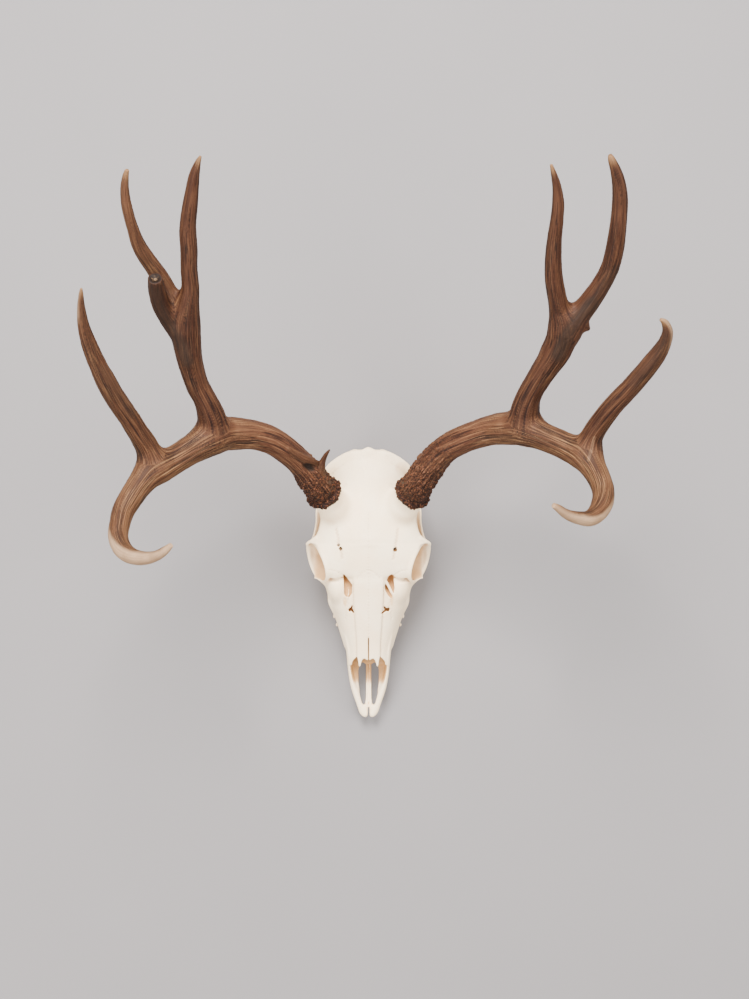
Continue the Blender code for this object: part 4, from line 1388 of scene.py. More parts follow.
class Limb:
    """One limb of an antler: its middle line, its thickness, and how its grain runs."""

    def __init__(self, rows, blend, flat_end=False, pale_tip=True):
        path = smoothed(rows, LIMB_PATH_STEPS)
        self.middles, self.radii = path[:, :3], path[:, 3]
        self.blend = blend
        self.flat_end = flat_end
        self.pale_tip = pale_tip
        steps = np.diff(self.middles, axis=0)
        self.sizes = np.linalg.norm(steps, axis=1)
        self.along = steps / self.sizes[:, None]
        self.runs = np.concatenate([[0], np.cumsum(self.sizes)]).astype(np.float32)
        side = np.cross(self.along[0], (0, 0, 1))
        sides = []
        for direction in self.along:
            side = side - direction * side.dot(direction)
            side = side / np.linalg.norm(side)
            sides.append(side)
        self.sides = np.array(sides, np.float32)

    def close_to(self, points):
        margin = self.radii.max() + 8
        low, high = self.middles.min(0) - margin, self.middles.max(0) + margin
        return np.flatnonzero(np.all((points > low) & (points < high), axis=1))

    def nearest(self, points):
        """How far points are from the skin, the way out, the place in the grain, and the run to the tip."""
        away, out, grain, run, girth = [], [], [], [], []
        for first in range(0, len(points), PLACES_AT_ONCE):
            some = points[first:first + PLACES_AT_ONCE]
            rel = some[:, None, :] - self.middles[None, :-1, :]
            share = np.clip(np.einsum("mnk,nk->mn", rel, self.along) / self.sizes, 0, 1)
            rel = rel - self.along[None] * (share * self.sizes)[:, :, None]
            radius = self.radii[:-1] + share * np.diff(self.radii)
            distance = np.linalg.norm(rel, axis=2) - radius
            best = distance.argmin(1)
            pick = np.arange(len(best)), best
            rel, share, radius, distance = rel[pick], share[pick], radius[pick], distance[pick]
            way = rel / np.maximum(np.linalg.norm(rel, axis=1, keepdims=True), 1e-6)
            if self.flat_end:
                beyond = np.einsum("mk,k->m", some - self.middles[-1], self.along[-1])
                at_end = (beyond > -1.5) & (best == len(self.along) - 1)
                side = rel - self.along[-1] * np.einsum("mk,k->m", rel, self.along[-1])[:, None]
                wall = np.linalg.norm(side, axis=1) - self.radii[-1]
                end = at_end & (beyond > wall)
                distance = np.where(at_end, np.maximum(wall, beyond), distance)
                way = np.where(end[:, None], self.along[-1], way)
            across = self.sides[best]
            lift = np.cross(self.along[best], across)
            length = self.runs[best] + share * self.sizes[best]
            turn = np.stack([np.einsum("mk,mk->m", way, across), np.einsum("mk,mk->m", way, lift)], 1)
            away.append(distance)
            out.append(way)
            grain.append(np.concatenate([turn * GRAIN_RADIUS, length[:, None]], 1))
            run.append(self.runs[-1] - length)
            girth.append(radius)
        return tuple(np.concatenate(part).astype(np.float32) for part in (away, out, grain, run, girth))


class Ring:
    """The thick ring of the burr."""

    blend = BURR_BLEND

    def __init__(self):
        self.normal = np.array(BURR_NORMAL) / np.linalg.norm(BURR_NORMAL)
        x, ahead, z = BURR_MIDDLE
        self.middle = np.array((x, -ahead, z)) + self.normal * BURR_LIFT

    def close_to(self, points):
        return np.flatnonzero(np.linalg.norm(points - self.middle, axis=1) < BURR_RADIUS + 15)

    def nearest(self, points):
        rel = points - self.middle
        height = rel @ self.normal
        flat = rel - height[:, None] * self.normal
        size = np.maximum(np.linalg.norm(flat, axis=1, keepdims=True), 1e-6)
        way = rel - flat / size * BURR_RADIUS
        far = np.linalg.norm(way, axis=1)
        return far - BURR_THICKNESS, way / np.maximum(far, 1e-6)[:, None]


def drawn_to_skin(points, forms, rounds=3):
    """Points moved onto the one soft skin round all the forms."""
    for _ in range(rounds):
        near = np.full(len(points), FAR, np.float32)
        slope = np.zeros_like(points)
        for form in forms:
            close = form.close_to(points)
            distance, way = form.nearest(points[close])[:2]
            before = near[close]
            overlap = np.maximum(form.blend - np.abs(before - distance), 0) / form.blend
            share = np.where(distance < before, 1 - overlap / 2, overlap / 2)[:, None]
            slope[close] = slope[close] * (1 - share) + way * share
            near[close] = np.minimum(before, distance) - overlap ** 2 * form.blend / 4
        size = np.maximum(np.einsum("ij,ij->i", slope, slope), 0.2)
        points = points - slope * (np.clip(near, -2, 2) / size)[:, None]
    return points.astype(np.float32)


def rings_of(limb, sides=LIMB_SIDES):
    """The limb as a plain closed tube, as places and faces."""
    places, faces = [], []
    turns = np.linspace(0, 2 * math.pi, sides, endpoint=False)
    count = len(limb.middles)
    for i in range(count):
        k = min(i, len(limb.along) - 1)
        lift = np.cross(limb.along[k], limb.sides[k])
        ring = np.outer(np.cos(turns), limb.sides[k]) + np.outer(np.sin(turns), lift)
        places.append(limb.middles[i] + ring * limb.radii[i])
    for i in range(count - 1):
        for j in range(sides):
            a, b = i * sides + j, i * sides + (j + 1) % sides
            faces.append((a, b, b + sides, a + sides))
    faces.append(tuple(range(sides))[::-1])
    faces.append(tuple(range((count - 1) * sides, count * sides)))
    return np.concatenate(places), faces


def antler_forms(limbs):
    """The limbs by name: the beam with its front branch as one, its tines, and then its small points."""
    forms = {"main": Limb(limbs["beam"] + limbs["front"][1:], MAIN_BLEND)}
    for name, blend in TINE_BLENDS.items():
        forms[name] = Limb(limbs[name], blend)
    for name in ("stub", "spike", "fin", "kicker"):
        if name in limbs:
            forms[name] = Limb(limbs[name], POINT_BLEND, flat_end=name == "stub", pale_tip=False)
    return forms


def attribute(mesh, name, values, kind="FLOAT"):
    """Stores a value at each place of a mesh."""
    layer = mesh.attributes.new(name, kind, "POINT")
    member = "vector" if kind == "FLOAT_VECTOR" else "value"
    layer.data.foreach_set(member, np.ravel(values).astype(np.float32))


def fade(value, low, high):
    """A soft step from 0 at one value to 1 at another."""
    share = np.clip((value - low) / (high - low), 0, 1)
    return share * share * (3 - 2 * share)


def refine_base(item):
    """Finer faces round the burr and the pearled foot of the beam."""
    shape = bmesh.new()
    shape.from_mesh(item.data)
    x, ahead, z = BURR_MIDDLE
    middle = Vector((x, -ahead, z))
    edges = [e for e in shape.edges if (e.verts[0].co - middle).length < FINE_REACH]
    bmesh.ops.subdivide_edges(shape, edges=edges, cuts=1, use_grid_fill=True)
    shape.to_mesh(item.data)
    shape.free()


def dented(points, dents):
    """How deep in a dent each point is."""
    depth = np.zeros(len(points), np.float32)
    for middle, toward, length, width, push in dents:
        direction = np.array(toward) / np.linalg.norm(toward)
        rel = points - middle
        along = rel @ direction
        across = np.linalg.norm(rel - along[:, None] * direction, axis=1)
        q = np.clip(1 - (along / length) ** 2 - (across / width) ** 2, 0, 1)
        depth = np.maximum(depth, q * push)
    return depth


def broken_core(form, points):
    """How close places are to the middle of a limb's broken end."""
    rel = points - form.middles[-1]
    beyond = rel @ form.along[-1]
    side = np.linalg.norm(rel - beyond[:, None] * form.along[-1], axis=1) / form.radii[-1]
    return np.clip(1 - side, 0, 1) * (np.abs(beyond) < CORE_REACH)


def beyond_edge(points, hook):
    """How far places lie beyond the edge where the hook turns pale, seen from above."""
    middle, edge = np.array(hook[0]), np.array(hook[1])
    turn = np.arctan2(*(edge - middle).T[::-1])
    reach = np.linalg.norm(edge - middle, axis=1)
    place = points[:, :2] - middle
    line = np.interp(np.arctan2(place[:, 1], place[:, 0]), turn[::-1], reach[::-1])
    return np.linalg.norm(place, axis=1) - line


def describe(mesh, forms, points, antler):
    """Stores how the grain runs, how near each tip is, and how rough the foot is."""
    count = len(points)
    away = np.full((len(forms), count), FAR, np.float32)
    grain = np.zeros((len(forms), count, 3), np.float32)
    run = np.full((len(forms), count), OUT_OF_REACH, np.float32)
    girth = np.full((len(forms), count), FULL_GIRTH, np.float32)
    core = np.zeros(count, np.float32)
    for k, form in enumerate(forms.values()):
        close = form.close_to(points)
        distance, _, flow, left, thick = form.nearest(points[close])
        if form.flat_end:
            core[close] = broken_core(form, points[close])
        if not form.pale_tip:
            left = left + DULL_TIP
        flow[:, 2] += GRAIN_SHIFT * k
        away[k, close], grain[k, close], run[k, close], girth[k, close] = distance, flow, left, thick

    # The nearest limb of each place and the next one, which share it near a fork
    order = np.argsort(away, axis=0)
    pick = np.arange(count)
    first, second = order[0], order[1]
    gap = away[second, pick] - away[first, pick]
    fork = 0.5 * (1 - np.clip(gap / FORK_BLEND, 0, 1))
    to_tip = run[first, pick] * (1 - fork) + run[second, pick] * fork
    thick = girth[first, pick] * (1 - fork) + girth[second, pick] * fork
    shades = np.array([antler.shades.get(name, 1) for name in forms])
    attribute(mesh, "flow_a", grain[first, pick], "FLOAT_VECTOR")
    attribute(mesh, "flow_b", grain[second, pick], "FLOAT_VECTOR")
    attribute(mesh, "fork", fork)
    attribute(mesh, "to_tip", to_tip)
    attribute(mesh, "bare", 1 - fade(to_tip, *TIP_BARE))
    attribute(mesh, "thickness", np.clip(thick / FULL_GIRTH, *RELIEF_SHARES))
    attribute(mesh, "shade", shades[first] * (1 - fork) + shades[second] * fork)
    attribute(mesh, "core", core)

    from_burr = np.where(first == 0, grain[0, :, 2], OUT_OF_REACH)
    upper = forms["main"].nearest(points)[1][:, 2]
    sparse = (1 - fade(from_burr, *antler.upper_pearls)) * fade(upper, -0.2, 0.5) * UPPER_PEARLS
    attribute(mesh, "from_burr", from_burr)
    attribute(mesh, "rough", np.maximum(1 - fade(from_burr, *antler.pearls), sparse))

    pale = np.clip(0.5 + 0.3 * beyond_edge(points, antler.hook), 0, 1)
    pale *= (first == 0) & (run[0] < PALE_REACH)
    tine = list(forms).index("front_tine")
    outer_side = fade(grain[tine, :, 0] / GRAIN_RADIUS, 0.35, 0.8) * (first == tine)
    outer_side = outer_side * (1 - fade(run[tine], *PALE_TINE))
    attribute(mesh, "pale", np.maximum(pale, 0.45 * outer_side))
    # Painted shade (-) and painted highlight (+) along the given lines, stored as patch
    patch = np.zeros(count, np.float32)
    for line, radius, strength in antler.patches:
        patch += strength * (1 - fade(near_line(points[:, :2], line), 0.3 * radius, radius))
    attribute(mesh, "patch", patch)


def one_skin(name, forms, ring):
    """One closed skin round the limbs and the burr, in the antler's own millimetres."""
    places, faces = [], []
    for form in forms.values():
        spots, quads = rings_of(form)
        faces += [tuple(corner + len(places) for corner in quad) for quad in quads]
        places += spots.tolist()
    mesh = bpy.data.meshes.new(name)
    mesh.from_pydata(places, [], faces)
    item = bpy.data.objects.new(name, mesh)
    bpy.context.scene.collection.objects.link(item)
    shape = bmesh.new()
    shape.from_mesh(mesh)
    turn = Vector((0, 0, 1)).rotation_difference(Vector(ring.normal)).to_matrix().to_4x4()
    base = Matrix.Translation(Vector(ring.middle)) @ turn
    outside = BURR_RADIUS + BURR_THICKNESS - 1
    bmesh.ops.create_cone(shape, cap_ends=True, segments=40, depth=BURR_THICKNESS * 1.2, matrix=base,
                          radius1=outside, radius2=outside)
    shape.to_mesh(mesh)
    shape.free()
    skin = item.modifiers.new("One skin", "REMESH")
    skin.mode = "VOXEL"
    skin.voxel_size = ANTLER_STEP
    return applied(item)


def grow_antler(antler, finish, tree):
    """A whole antler with its relief, in its place in the world."""
    forms = antler_forms(antler.limbs)
    ring = Ring()
    item = one_skin(antler.side + "_antler", forms, ring)
    refine_base(item)
    points = drawn_to_skin(places_of(item.data), [*forms.values(), ring])
    item.data.vertices.foreach_set("co", points.ravel())
    item.data.update()
    normals = np.empty(len(points) * 3, np.float32)
    item.data.vertex_normals.foreach_get("vector", normals)
    describe(item.data, forms, points, antler)
    depth = dented(points, antler.dents)
    # Painted shade in the dents, darker where they are deeper
    attribute(item.data, "dent", np.clip(depth / DEEP_DENT, 0, 1))
    points = points - normals.reshape(-1, 3) * depth[:, None]
    x_world = antler.mirror * points[:, 0] - BOX_MIDDLE[0]
    world = np.stack([x_world, points[:, 1] - BOX_MIDDLE[1], points[:, 2]], 1) * MM
    item.data.vertices.foreach_set("co", world.astype(np.float32).ravel())
    if antler.mirror < 0:
        item.data.flip_normals()
    item.data.shade_smooth()
    item.data.materials.append(finish)
    return worked(item, tree, finish, ANTLER_RELIEF)


def cut_at_forks(item, antler):
    """Cuts the antler's foot off flat and parts it at its forks, with every cut closed."""
    shape = bmesh.new()
    shape.from_mesh(item.data)
    mirrored = Vector((antler.mirror, 1, 1))
    x, ahead, z = BURR_MIDDLE
    normal = (Vector(BURR_NORMAL) * mirrored).normalized()
    foot = in_world(antler.mirror, x, -ahead, z) + normal * PIECE_GAP * MM
    bmesh.ops.bisect_plane(shape, geom=shape.verts[:] + shape.edges[:] + shape.faces[:], dist=1e-7,
                           plane_co=foot, plane_no=normal, clear_inner=True)
    for place, toward, half_size in antler.cuts.values():
        middle = in_world(antler.mirror, *place)
        direction = (Vector(toward) * mirrored).normalized()
        geometry = set()
        for face in shape.faces:
            rel = face.calc_center_median() - middle
            if abs(rel.dot(direction)) < CUT_REACH * MM and rel.length < half_size * MM * CUT_GROWTH:
                geometry.update((face, *face.verts, *face.edges))
        made = bmesh.ops.bisect_plane(shape, geom=list(geometry), dist=1e-7,
                                      plane_co=middle, plane_no=direction)["geom_cut"]
        rim = [e for e in made if isinstance(e, bmesh.types.BMEdge)]
        bmesh.ops.split_edges(shape, edges=rim)
    rims = [e for e in shape.edges if e.is_boundary]
    caps = bmesh.ops.holes_fill(shape, edges=rims, sides=0)["faces"]
    for cap in caps:
        cap.smooth = False
    for edge in rims:
        edge.smooth = False
    bmesh.ops.triangulate(shape, faces=caps)
    shape.to_mesh(item.data)
    shape.free()


def loose_bodies(item):
    """The object's separate bodies, each as its own object, without slivers."""
    before = set(bpy.data.objects)
    bpy.context.view_layer.objects.active = item
    for other in bpy.context.selected_objects:
        other.select_set(False)
    item.select_set(True)
    bpy.ops.object.mode_set(mode="EDIT")
    bpy.ops.mesh.select_all(action="SELECT")
    bpy.ops.mesh.separate(type="LOOSE")
    bpy.ops.object.mode_set(mode="OBJECT")
    bodies = [item] + [o for o in bpy.data.objects if o not in before]
    for body in [b for b in bodies if len(b.data.polygons) < SLIVER_FACES]:
        bodies.remove(body)
        bpy.data.objects.remove(body, do_unlink=True)
    return bodies


def part_antler(item, antler):
    """Parts the antler at its forks and its foot, with a piece for each CAD node."""
    cut_at_forks(item, antler)
    bodies = loose_bodies(item)
    spots = [places_of(body.data) for body in bodies]
    ends = {
        "beam": antler.limbs["beam"][2],
        "front_branch": antler.limbs["front"][-1],
        "front_tine": antler.limbs["front_tine"][-1],
        "rear_branch": antler.limbs["rear"][-1],
        "rear_outer_tine": antler.limbs["rear_outer"][-1],
    }
    for name, (x, y, z, _) in ends.items():
        tip = np.array(in_world(antler.mirror, x, y, z))
        nearest = min(range(len(bodies)), key=lambda k: np.linalg.norm(spots[k] - tip, axis=1).min())
        piece = bodies[nearest]
        node = f"{antler.side}_antler_{name}"
        piece.name = node + "_skin"
        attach(piece, "root")
        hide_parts(node)


# Teeth

def closed_curve(outline, steps):
    """More points along a closed curve through every point."""
    corners = np.array(outline, float)
    count = len(corners)
    return np.array([
        on_curve(*(corners[(i + k) % count] for k in (-1, 0, 1, 2)), step / steps)
        for i in range(count) for step in range(steps)
    ])


def chewing_height(u, v, lobes):
    """How far the worn chewing face lies above its rim, from hollows shaped like half moons."""
    depth = 0.55
    for middle in lobes:
        across = (u - middle) * len(lobes)
        bow = v + 0.55 * across * across - 0.08
        moon = math.exp(-(bow / 0.09) ** 2) * max(0.0, 1 - (across / 0.46) ** 4)
        rim = math.exp(-((abs(bow) - 0.16) / 0.05) ** 2) * max(0.0, 1 - (across / 0.5) ** 4)
        depth += 1.7 * moon - 0.45 * rim
    return depth


def make_tooth(name, mirror, ahead, out, length, width, turn_degrees, molar, finish):
    """One tooth as rings from its root down its sides and over its chewing face."""
    outline = closed_curve(MOLAR_OUTLINE if molar else PREMOLAR_OUTLINE, 6)
    turn = math.radians(turn_degrees)
    lobes = (-0.25, 0.25) if molar else (0.0,)
    count = len(outline)

    def world(u, v, z):
        along, across = u * length, v * width
        x = out + across * math.cos(turn) - along * math.sin(turn)
        y = -ahead - across * math.sin(turn) - along * math.cos(turn)
        return in_world(mirror, x, y, z)

    shape = bmesh.new()
    rings = []
    for z, share in TOOTH_SIDES:
        rings.append([shape.verts.new(world(u * share, v * share, z)) for u, v in outline])
    for share in TOOTH_FACE_SHARES:
        ring = []
        for u, v in outline:
            height = chewing_height(u * share, v * share, lobes) * min(1, (1 - share) / 0.1)
            ring.append(shape.verts.new(world(u * share, v * share, height)))
        rings.append(ring)
    for near, far in zip(rings, rings[1:]):
        for i in range(count):
            j = (i + 1) % count
            shape.faces.new((near[i], near[j], far[j], far[i]))
    shape.faces.new(rings[0])
    shape.faces.new(rings[-1])
    bmesh.ops.recalc_face_normals(shape, faces=shape.faces)
    bmesh.ops.triangulate(shape, faces=[f for f in shape.faces if len(f.verts) > 4])
    mesh = bpy.data.meshes.new(name)
    shape.to_mesh(mesh)
    shape.free()
    mesh.shade_smooth()
    mesh.set_sharp_from_angle(angle=math.radians(40))
    mesh.materials.append(finish)
    piece = bpy.data.objects.new(name + "_crown", mesh)
    bpy.context.scene.collection.objects.link(piece)
    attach(piece, "root")
    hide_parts(name)


def make_teeth(finish):
    for mirror, side in ((-1, "left"), (1, "right")):
        for (name, ahead, out, length, width), turn in zip(TEETH, TOOTH_TURNS):
            molar = name.startswith("molar")
            make_tooth(f"{side}_{name}", mirror, ahead, out, length, width, turn, molar, finish)


# Skull

def crowding(clay, radius):
    """How much bone is around each grid place, within a box of a radius."""
    full = (clay.field < 0).astype(np.float32)
    for axis in range(3):
        total = np.cumsum(full, axis=axis, dtype=np.float32)
        size = full.shape[axis]
        high = np.clip(np.arange(size) + radius, 0, size - 1)
        low = np.clip(np.arange(size) - radius - 1, 0, size - 1)
        full = (np.take(total, high, axis) - np.take(total, low, axis)) / (2 * radius + 1)
    return full


def sampled(clay, grid, points):
    """A grid's value at the nearest grid place of each point."""
    at = np.rint((points - clay.low) / clay.step).astype(int)
    at = np.clip(at, 0, np.array(grid.shape) - 1)
    return grid[at[:, 0], at[:, 1], at[:, 2]]


def seam_strength(points, upward, line, width, paired=True):
    """How close places on the top are to a line of (x, ahead), which may stand for both sides."""
    x = np.abs(points[:, 0]) if paired else points[:, 0]
    x = x + 0.5 * np.sin(points[:, 1] * 1.9) + 0.35 * np.sin(points[:, 1] * 4.3 + points[:, 0] * 1.1)
    ahead = points[:, 1] + 0.5 * np.sin(points[:, 0] * 2.3) + 0.3 * np.sin(points[:, 0] * 5.1)
    nearest = near_line(np.stack([x, ahead], 1), line)
    return (1 - fade(nearest, 0.2 * width, width)) * fade(upward, 0.1, 0.4)


def near_line(points, line):
    """How far points are from a line of points, in as many dimensions as both have."""
    nearest = np.full(len(points), FAR, np.float32)
    for a, b in zip(np.array(line[:-1], np.float32), np.array(line[1:], np.float32)):
        rel, step = points - a, b - a
        share = np.clip(rel @ step / (step @ step), 0, 1)
        nearest = np.minimum(nearest, np.linalg.norm(rel - share[:, None] * step, axis=1))
    return nearest


def within(points, outline):
    """Which points of (x, ahead) lie inside an outline."""
    inside = np.zeros(len(points), bool)
    x, ahead = points[:, 0], points[:, 1]
    for (ax, ay), (bx, by) in zip(outline, outline[1:] + outline[:1]):
        crossed = (ay > ahead) != (by > ahead)
        inside ^= crossed & (x < (bx - ax) * (ahead - ay) / (by - ay + 1e-9) + ax)
    return inside


def shelter(clay, points, outward):
    """How much bone stands round each place, near it and farther away."""
    total = 0
    for radius, reach, start, rise, strength in SHELTER_LOOKS:
        crowded = sampled(clay, crowding(clay, radius), points + outward * reach)
        total = total + np.clip((crowded - start) / rise, 0, 1) * strength
    return total


def stains(points, half, out_half):
    """How brown the hollows and the gaps before the eyes are; half is the places moved to one side."""
    stained = np.zeros(len(points), np.float32)
    for middle, radii, strength, soft in STAINS:
        away = half - middle
        towards = -np.einsum("mk,mk->m", out_half, away) / np.maximum(np.linalg.norm(away, axis=1), 1)
        inside = 1 - fade(np.linalg.norm(away / radii, axis=1), 1, 1 + soft)
        inside = inside * fade(towards, -0.1, 0.35)
        stained = np.maximum(stained, strength * inside)
    stained *= 1 - 0.9 * fade(half[:, 0], *STAIN_PALES)
    stained *= fade(near_line(half, [spot[:3] for spot in TEAR_NOTCH]), 2.4, 3.8)
    opened = within(points * (-1, 1, 1), LEFT_TEAR_GAP)
    for outline in RIGHT_TEAR_GAPS:
        opened |= within(points, outline)
    low, high = GAP_STAIN_HEIGHTS
    opened &= (points[:, 2] > low) & (points[:, 2] < high)
    bare = np.zeros(len(points), np.float32)
    for scroll in TEAR_SCROLLS:
        bare = np.maximum(bare, 1 - fade(near_line(points, [spot[:3] for spot in scroll]), 0.8, 1.6))
    return np.where(opened, 0.95 - 0.6 * bare, stained)


def mark_bone(mesh, clay, points):
    """Stores how sheltered, porous and seamed each place of the bone is, and marks the blood holes for
    painted shade.
    """
    outward = clay.outward(points)
    sides = np.where(points[:, :1] < 0, -1.0, 1.0)
    half = np.concatenate([points[:, :1] * sides, points[:, 1:]], 1)
    out_half = np.concatenate([outward[:, :1] * sides, outward[:, 1:]], 1)
    sheltered = np.maximum(shelter(clay, points, outward) * 0.75, stains(points, half, out_half))
    for middle, radii, strength in TINGES:
        inside = 1 - fade(np.linalg.norm((half - middle) / radii, axis=1), 0.3, 1.1)
        sheltered = np.maximum(sheltered, 0.35 + strength * inside * 0.65 - 0.35 * (inside <= 0))
    # The blood holes get full shelter and the hole mark 3, which the finish paints as dark shade
    hole = np.zeros(len(points), bool)
    for (hole_x, hole_ahead), radius in BLOOD_HOLES:
        hole |= np.hypot(points[:, 0] - hole_x, points[:, 1] - hole_ahead) < radius + 0.25
    hole &= (outward[:, 2] < 0.75) | (points[:, 2] < 95)
    attribute(mesh, "sheltered", np.where(hole, 1, np.clip(sheltered, 0, 1)))

    _, ahead, z = half.T
    from_stalk = np.linalg.norm(half - BURR_MIDDLE, axis=1)
    porous = np.maximum(1 - fade(from_stalk, 10, 26), 0.8 * fade(ahead, 250, 275))
    porous = np.maximum(porous, 0.8 * (1 - fade(ahead, 6, 26)) * fade(z, 25, 40))
    porous = np.maximum(porous, 0.9 * (1 - fade(z, 11, 17)) * fade(ahead, 100, 104))
    attribute(mesh, "porous", porous)

    seam = np.zeros(len(points), np.float32)
    for line in SEAMS:
        seam = np.maximum(seam, seam_strength(points, outward[:, 2], line, 0.9))
    for line in GROOVES:
        seam = np.maximum(seam, 1.6 * seam_strength(points, outward[:, 2], line, 2.2, paired=False))
    attribute(mesh, "seam", np.where(hole, 3, seam))
    flat = (np.abs(z - GUM_LINE) < 0.3) & (np.abs(outward[:, 2]) > 0.9) | (z < 0.4)
    attribute(mesh, "soft", np.where(flat, 0.0, 1.0))


def make_skull(finish):
    clay = shape_skull()
    places, faces = net(clay)
    skull = mesh_object("skull_bone", to_world(places), faces[:, ::-1])
    mark_bone(skull.data, clay, places)
    skull.data.shade_smooth()
    skull.data.materials.append(finish)
    worked(skull, bone_relief_tree(), finish, BONE_RELIEF)
    thinner = skull.modifiers.new("Fewer faces", "DECIMATE")
    thinner.ratio = BONE_TRIANGLES / (2 * len(faces))
    applied(skull)
    skull.data.shade_smooth()
    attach(skull, "root")
    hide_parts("skull")


# Finishes

def mottle_group():
    """Soft uneven patches in two sizes."""
    tree, given, end = new_group("ShaderNodeTree", "Mottle",
                                 (("Large", "Float", 30.0), ("Small", "Float", 4.0)),
                                 (("Patches", "Float"), ("Specks", "Float")))
    place = scaled(tree, add(tree, "ShaderNodeTexCoord").outputs["Object"], 1 / MM)
    large = noise(tree, place, per(tree, given["Large"]), 4)
    small = noise(tree, place, per(tree, given["Small"]), 5, 0.65)
    finish_group(tree, end, Patches=spread(tree, large, 0.3, 0.7), Specks=spread(tree, small, 0.3, 0.7))
    return tree


def pores_group():
    """Tiny dark pits, scattered thinly."""
    tree, given, end = new_group("ShaderNodeTree", "Pores",
                                 (("Size", "Float", 1.0), ("Share", "Float", 0.3)), (("Pits", "Float"),))
    place = scaled(tree, add(tree, "ShaderNodeTexCoord").outputs["Object"], 1 / MM)
    cells = add(tree, "ShaderNodeTexVoronoi", {"Vector": place, "Scale": per(tree, given["Size"])})
    lot = add(tree, "ShaderNodeSeparateColor", {0: cells.outputs["Color"]}).outputs[0]
    chosen = maths(tree, "LESS_THAN", lot, given["Share"])
    pit = spread(tree, cells.outputs["Distance"], 0.32, 0.08)
    finish_group(tree, end, Pits=times(tree, pit, chosen))
    return tree


def placed_group(tree, group, **values):
    """The outputs of a shared shader group that is placed in a finish with its own values."""
    return add(tree, "ShaderNodeGroup", values, node_tree=group).outputs


def mark(tree, name, output="Fac"):
    """What a mesh has stored under a name, for a shader."""
    return add(tree, "ShaderNodeAttribute", attribute_name=name).outputs[output]


def new_finish(name):
    finish = bpy.data.materials.new(name)
    finish.use_nodes = True
    tree = finish.node_tree
    return finish, tree, tree.nodes["Principled BSDF"]


def bump(tree, height, strength, distance):
    values = {"Height": height, "Strength": strength, "Distance": distance * MM}
    return add(tree, "ShaderNodeBump", values).outputs[0]


def layered(tree, colour, layers):
    """A colour under layers of (share, colour), or of (share, colour, way of mixing)."""
    for share, over, *way in layers:
        colour = tinted(tree, share, colour, over, *way)
    return colour


def bone_finish(mottle, pores):
    finish, tree, shader = new_finish("bleached bone")
    patches = placed_group(tree, mottle, Large=34.0, Small=3.0)
    speck = patches["Specks"]
    seam = mark(tree, "seam")
    stain = plus(tree, mark(tree, "sheltered"), times(tree, patches["Patches"], 0.2))
    stain = spread(tree, stain, 0.35, 1.0)
    pits = placed_group(tree, pores, Size=1.5, Share=0.35)["Pits"]
    pits = times(tree, pits, spread(tree, mark(tree, "porous"), 0.1, 0.8, 0.12, 1.0))
    colour = layered(tree, tinted(tree, patches["Patches"], BONE_WARM, BONE_PALE), (
        (times(tree, speck, 0.25), BONE_SPECK),
        (spread(tree, stain, 0.0, 0.6, 0.0, 0.9), STAIN_TAN),
        (spread(tree, stain, 0.45, 1.0, 0.0, 0.85), STAIN_BROWN),
        (spread(tree, seam, 0.2, 1.6, 0.0, 0.6), SEAM_BROWN),
        # Painted shade inside the blood holes
        (spread(tree, seam, 2.0, 3.0), HOLE_SHADE),
        (times(tree, pits, 0.55), PORE_BROWN),
    ))
    tree.links.new(colour, shader.inputs["Base Color"])
    tree.links.new(between(tree, speck, 0.5, 0.66), shader.inputs["Roughness"])
    height = minus(tree, times(tree, speck, 0.5), pits)
    tree.links.new(bump(tree, height, 0.35, 0.25), shader.inputs["Normal"])
    shader.inputs["Specular IOR Level"].default_value = 0.35
    return finish


def enamel_finish(mottle, pores):
    finish, tree, shader = new_finish("tooth enamel")
    patches = placed_group(tree, mottle, Large=9.0, Small=1.2)
    place = add(tree, "ShaderNodeTexCoord").outputs["Object"]
    height = add(tree, "ShaderNodeSeparateXYZ", {0: place}).outputs["Z"]
    chewed = times(tree, spread(tree, height, *CHEWED_HEIGHTS, 1.0, 0.0), patches["Patches"])
    pits = placed_group(tree, pores, Size=1.4, Share=0.25)["Pits"]
    colour = layered(tree, tinted(tree, patches["Patches"], ENAMEL_CREAM, ENAMEL_PALE), (
        (times(tree, chewed, 0.7), CHEWED_BROWN),
        (times(tree, pits, 0.4), ENAMEL_PIT),
    ))
    tree.links.new(colour, shader.inputs["Base Color"])
    tree.links.new(between(tree, patches["Specks"], 0.28, 0.45), shader.inputs["Roughness"])
    tree.links.new(bump(tree, patches["Specks"], 0.3, 0.12), shader.inputs["Normal"])
    return finish


